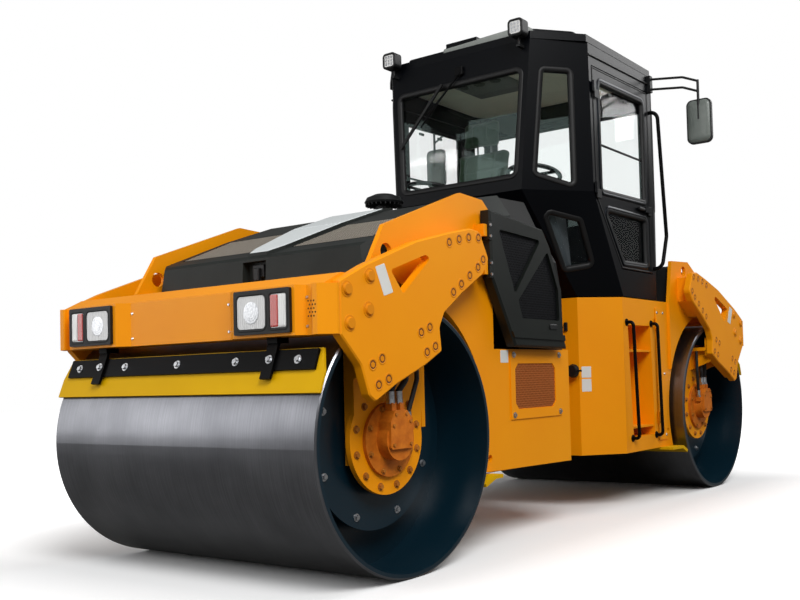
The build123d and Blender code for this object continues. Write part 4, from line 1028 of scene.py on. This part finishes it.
def makeBaseDetails():
    knob = bmesh.new()
    for values in baseDetails["knob"]:
        addHead(knob, *values)
    addRoundBox(knob, baseDetails["latchLow"], baseDetails["latchHigh"], baseDetails["latchRound"])
    finishPiece("base_knob_and_latch", knob, trimPlastic, "rear_frame")
    plates = bmesh.new()
    section = baseDetails["plateSection"]
    corner = Vector(baseDetails["chamferCorner"])
    along = Vector(baseDetails["chamferAlong"]).normalized()
    outward = Vector((along.y, -along.x, 0))
    for near, far, low, high in baseDetails["chamferPlates"]:
        points = [corner + along * reach + Vector((0, 0, height)) for reach, height in (
            (near, low), (far, low), (far, high), (near, high))]
        addMoulding(plates, points, outward, section, baseDetails["plateRadius"], True)
    for points, y in baseDetails["sidePlates"]:
        addMoulding(plates, onSide(points, y, 1), (0, 1, 0), section, baseDetails["plateRadius"], True)
    front = bmesh.new()
    back = bmesh.new()
    for face in plates.faces[:]:
        face.tag = face.calc_center_median().x > 0
    for shape, wanted in ((front, True), (back, False)):
        for face in plates.faces:
            if face.tag == wanted:
                shape.faces.new([shape.verts.new(v.co) for v in face.verts])
        bmesh.ops.remove_doubles(shape, verts=shape.verts, dist=0.00001)
    plates.free()
    finishPiece("front_blank_plates", front, plateFilm, "front_frame")
    finishPiece("rear_blank_plates", back, plateFilm, "rear_frame")
    treads = bmesh.new()
    feet = bmesh.new()
    for side in sideList:
        sign = side["sign"]
        outward = (0, sign, 0)
        for z, low, high in baseDetails["treads"]:
            first = low + baseDetails["treadMargin"]
            pitch = (high - low - 2 * baseDetails["treadMargin"]) / baseDetails["treadColumns"]
            for row in range(baseDetails["treadRows"]):
                y = baseDetails["treadStart"] + row * baseDetails["treadPitch"]
                for column in range(baseDetails["treadColumns"]):
                    place = (first + pitch * (column + 0.5 * (row % 2)), y * sign, z)
                    radius = baseDetails["studRadius"]
                    addHead(treads, place, (0, 0, 1), radius, baseDetails["studHeight"], 16, 0.6)
        for x, z in baseDetails["railFeet"]:
            place = (x, baseDetails["footFace"] * sign, z)
            addHead(feet, place, outward, baseDetails["footRadius"], baseDetails["footHeight"], 24, 0.92)
        hatch = bmesh.new()
        for x, z in baseDetails["hatchBolts"]:
            place = (x, baseDetails["hatchFace"] * sign, z)
            addHead(hatch, place, outward, baseDetails["hatchRadius"], baseDetails["hatchHeight"], 20, 0.7)
        finishPiece(side["side"] + "_hatch_bolts", hatch, zincSteel, "service_hatch_" + side["side"])
    finishPiece("step_treads", treads, yellowEnamel, "rear_frame")
    finishPiece("rail_feet", feet, blackEnamel, "rear_frame")


# Engine doors: hinge bolts and a latch. Air cleaner: ribs under the cap. Rear tank: grips on its cap
engineDetails = {
    "doorFace": 0.870, "hingeX": 1.150, "hingeHeights": (1.372, 1.428, 1.562, 1.618),
    "latch": [(0.520, 1.110), (0.600, 1.110), (0.600, 1.140), (0.520, 1.140)],
    "latchSection": [(0.0, 0.0), (0.0, 0.003), (-0.004, 0.005)], "latchRadius": 0.010,
    "cleaner": (0.655, -0.230, 1.919), "cleanerRadius": 0.085, "ribs": 24,
    "rib": [(-0.030, -0.003), (0.028, -0.003), (0.028, 0.003), (-0.030, 0.003)],
    "ribSection": [(0.0, -0.001), (0.0, 0.010), (-0.001, 0.012)],
    # Height, radius and thickness of each step of the cap
    "capX": -1.450, "capSteps": [(1.670, 0.074, 0.006), (1.676, 0.064, 0.008)],
    "grips": 20, "gripCircle": 0.070, "gripFoot": 1.640, "gripRadius": 0.005, "gripHeight": 0.028,
}


def makeEngineDetails():
    for side in sideList:
        sign = side["sign"]
        bolts = bmesh.new()
        latch = bmesh.new()
        for z in engineDetails["hingeHeights"]:
            place = (engineDetails["hingeX"], engineDetails["doorFace"] * sign, z)
            addHead(bolts, place, (0, sign, 0), 0.009, 0.006, 6, 0.9)
        finishPiece(side["side"] + "_hinge_bolts", bolts, zincSteel, "engine_door_" + side["side"])
        corners = onSide(engineDetails["latch"], engineDetails["doorFace"], sign)
        section = engineDetails["latchSection"]
        addMoulding(latch, corners, (0, sign, 0), section, engineDetails["latchRadius"], True)
        finishPiece(side["side"] + "_engine_latch", latch, trimPlastic, "engine_door_" + side["side"])
    ribs = bmesh.new()
    for index in range(engineDetails["ribs"]):
        angle = math.radians(index * 360 / engineDetails["ribs"])
        direction = Vector((math.cos(angle), math.sin(angle), 0))
        beside = direction.cross(Vector((0, 0, 1)))
        place = Vector(engineDetails["cleaner"]) + direction * engineDetails["cleanerRadius"]
        corners = [place + direction * reach + beside * shift for reach, shift in engineDetails["rib"]]
        addMoulding(ribs, corners, (0, 0, -1), engineDetails["ribSection"], 0.002, True)
    finishPiece("air_cleaner_ribs", ribs, trimPlastic, "front_frame")
    cap = bmesh.new()
    for low, radius, height in engineDetails["capSteps"]:
        addHead(cap, (engineDetails["capX"], 0, low), (0, 0, 1), radius, height, 40, 0.94)
    for index in range(engineDetails["grips"]):
        angle = math.radians(index * 360 / engineDetails["grips"])
        x = engineDetails["capX"] + engineDetails["gripCircle"] * math.cos(angle)
        place = (x, engineDetails["gripCircle"] * math.sin(angle), engineDetails["gripFoot"])
        addHead(cap, place, (0, 0, 1), engineDetails["gripRadius"], engineDetails["gripHeight"], 8, 0.9)
    finishPiece("tank_cap_grips", cap, trimPlastic, "rear_frame")


makeArmScrews()
makeBeamDetails()
makeLampDetails()
print("arms and beams dressed")
makeGrilles()
makeHoodDetails()
makeEngineDetails()
print("grilles and hood dressed")
makePaneSeals()
makeDoorDetails()
makeCabTrim()
makeLampFaces()
makeInterior()
print("cab dressed")
makeDriveDetails()
makeBaseDetails()
print("drives and base dressed")
makeSeatPads()
print("seat padded")


# Stage: a pale floor, soft lamps and the photograph's camera
stageValues = {
    "floorSeen": "#FFFFFF", "floorUnseen": "#747472", "floorSize": 60.0, "worldStrength": 0.24,
    "keptShadow": (2.4, 1.0, 0.0), "fadeWidth": 2.2,
    "lamps": [
        {"name": "keyLamp", "place": (5.5, 6.5, 7.5), "aim": (0.6, 0.3, 1.2), "size": 5.0, "watts": 800},
        {"name": "fillLamp", "place": (9.0, -1.5, 4.5), "aim": (1.2, 0.0, 1.0), "size": 6.0, "watts": 170},
        {"name": "backLamp", "place": (-7.0, 4.0, 6.5), "aim": (-1.0, 0.0, 1.5), "size": 5.0, "watts": 300},
        {"name": "bandLamp", "place": (6.9, -6.2, 2.5), "aim": (1.8, -0.2, 0.75), "size": 4.0, "watts": 100},
    ],
}
cameraValues = {
    "place": (5.0790, 3.5087, 0.8690), "yaw": -145.992, "pitch": 2.1146, "roll": -1.5727,
    "lens": 43.107, "shiftX": -0.1140, "shiftY": 0.0504,
}


def makeStage():
    floorMesh = bmesh.new()
    bmesh.ops.create_grid(floorMesh, x_segments=1, y_segments=1, size=stageValues["floorSize"] / 2)
    data = bpy.data.meshes.new("floor")
    floorMesh.to_mesh(data)
    floorMesh.free()
    floor = bpy.data.objects.new("floor", data)
    bpy.context.scene.collection.objects.link(floor)
    paper = newMaterial("paleStudioFloor")
    place = addNode(paper, "ShaderNodeTexCoord")
    # How far a spot lies from the rectangle under the machine, where the shadow stays whole
    folded = addNode(paper, "ShaderNodeVectorMath", {"operation": "ABSOLUTE"}, {0: place.outputs["Object"]})
    beside = addNode(paper, "ShaderNodeVectorMath", {"operation": "SUBTRACT"}, {
        0: folded.outputs[0], 1: stageValues["keptShadow"]})
    clipped = addNode(paper, "ShaderNodeVectorMath", {"operation": "MAXIMUM"}, {0: beside.outputs[0]})
    reach = addNode(paper, "ShaderNodeVectorMath", {"operation": "LENGTH"}, {0: clipped.outputs[0]})
    glow = addNode(paper, "ShaderNodeMapRange", inputs={
        "Value": reach.outputs["Value"], "From Max": stageValues["fadeWidth"]})
    # The fade and the white are seen, but the machine is lit and mirrored by a darker floor
    ray = addNode(paper, "ShaderNodeLightPath")
    seen = addNode(paper, "ShaderNodeMath", {"operation": "MAXIMUM"}, {
        0: ray.outputs["Is Camera Ray"], 1: ray.outputs["Is Transmission Ray"]})
    shown = addNode(paper, "ShaderNodeMath", {"operation": "MULTIPLY"}, {
        0: glow.outputs[0], 1: seen.outputs[0]})
    tone = addNode(paper, "ShaderNodeMix", {"data_type": "RGBA"}, {
        "Factor": seen.outputs[0], "A": linearColour(stageValues["floorUnseen"]),
        "B": linearColour(stageValues["floorSeen"])})
    closeMaterial(paper, {"Base Color": tone.outputs["Result"], "Roughness": 0.85,
                          "Emission Color": (1.0, 1.0, 1.0, 1.0), "Emission Strength": shown.outputs[0]})
    data.materials.append(paper)
    world = bpy.data.worlds.new("studio")
    bpy.context.scene.world = world
    world.use_nodes = True
    backdrop = world.node_tree.nodes["Background"]
    ray = addNode(world, "ShaderNodeLightPath")
    seen = addNode(world, "ShaderNodeMath", {"operation": "MAXIMUM"}, {
        0: ray.outputs["Is Camera Ray"], 1: ray.outputs["Is Transmission Ray"]})
    level = addNode(world, "ShaderNodeMapRange", inputs={
        "Value": seen.outputs[0], "To Min": stageValues["worldStrength"], "To Max": 1.0})
    world.node_tree.links.new(level.outputs[0], backdrop.inputs["Strength"])
    backdrop.inputs["Color"].default_value = (1.0, 1.0, 1.0, 1.0)
    for lamp in stageValues["lamps"]:
        light = bpy.data.lights.new(lamp["name"], "AREA")
        light.shape = "DISK"
        light.size = lamp["size"]
        light.energy = lamp["watts"]
        holder = bpy.data.objects.new(lamp["name"], light)
        bpy.context.scene.collection.objects.link(holder)
        place = Vector(lamp["place"])
        turned = (Vector(lamp["aim"]) - place).to_track_quat("-Z", "Y").to_matrix().to_4x4()
        holder.matrix_world = Matrix.Translation(place) @ turned


def makeCamera():
    yaw = math.radians(cameraValues["yaw"])
    pitch = math.radians(cameraValues["pitch"])
    roll = math.radians(cameraValues["roll"])
    ahead = Vector((math.cos(yaw) * math.cos(pitch), math.sin(yaw) * math.cos(pitch), math.sin(pitch)))
    right = ahead.cross(Vector((0, 0, 1))).normalized()
    up = right.cross(ahead)
    rolledRight = right * math.cos(roll) + up * math.sin(roll)
    rolledUp = up * math.cos(roll) - right * math.sin(roll)
    turned = Matrix((rolledRight, rolledUp, -ahead)).transposed().to_4x4()
    data = bpy.data.cameras.new("photoCamera")
    data.sensor_width = 36.0
    data.lens = cameraValues["lens"]
    data.shift_x = cameraValues["shiftX"]
    data.shift_y = cameraValues["shiftY"]
    data.clip_end = 200.0
    camera = bpy.data.objects.new("photoCamera", data)
    bpy.context.scene.collection.objects.link(camera)
    camera.matrix_world = Matrix.Translation(cameraValues["place"]) @ turned
    bpy.context.scene.camera = camera


makeStage()
makeCamera()
bpy.context.scene.view_settings.view_transform = "Standard"
print("stage and camera set")
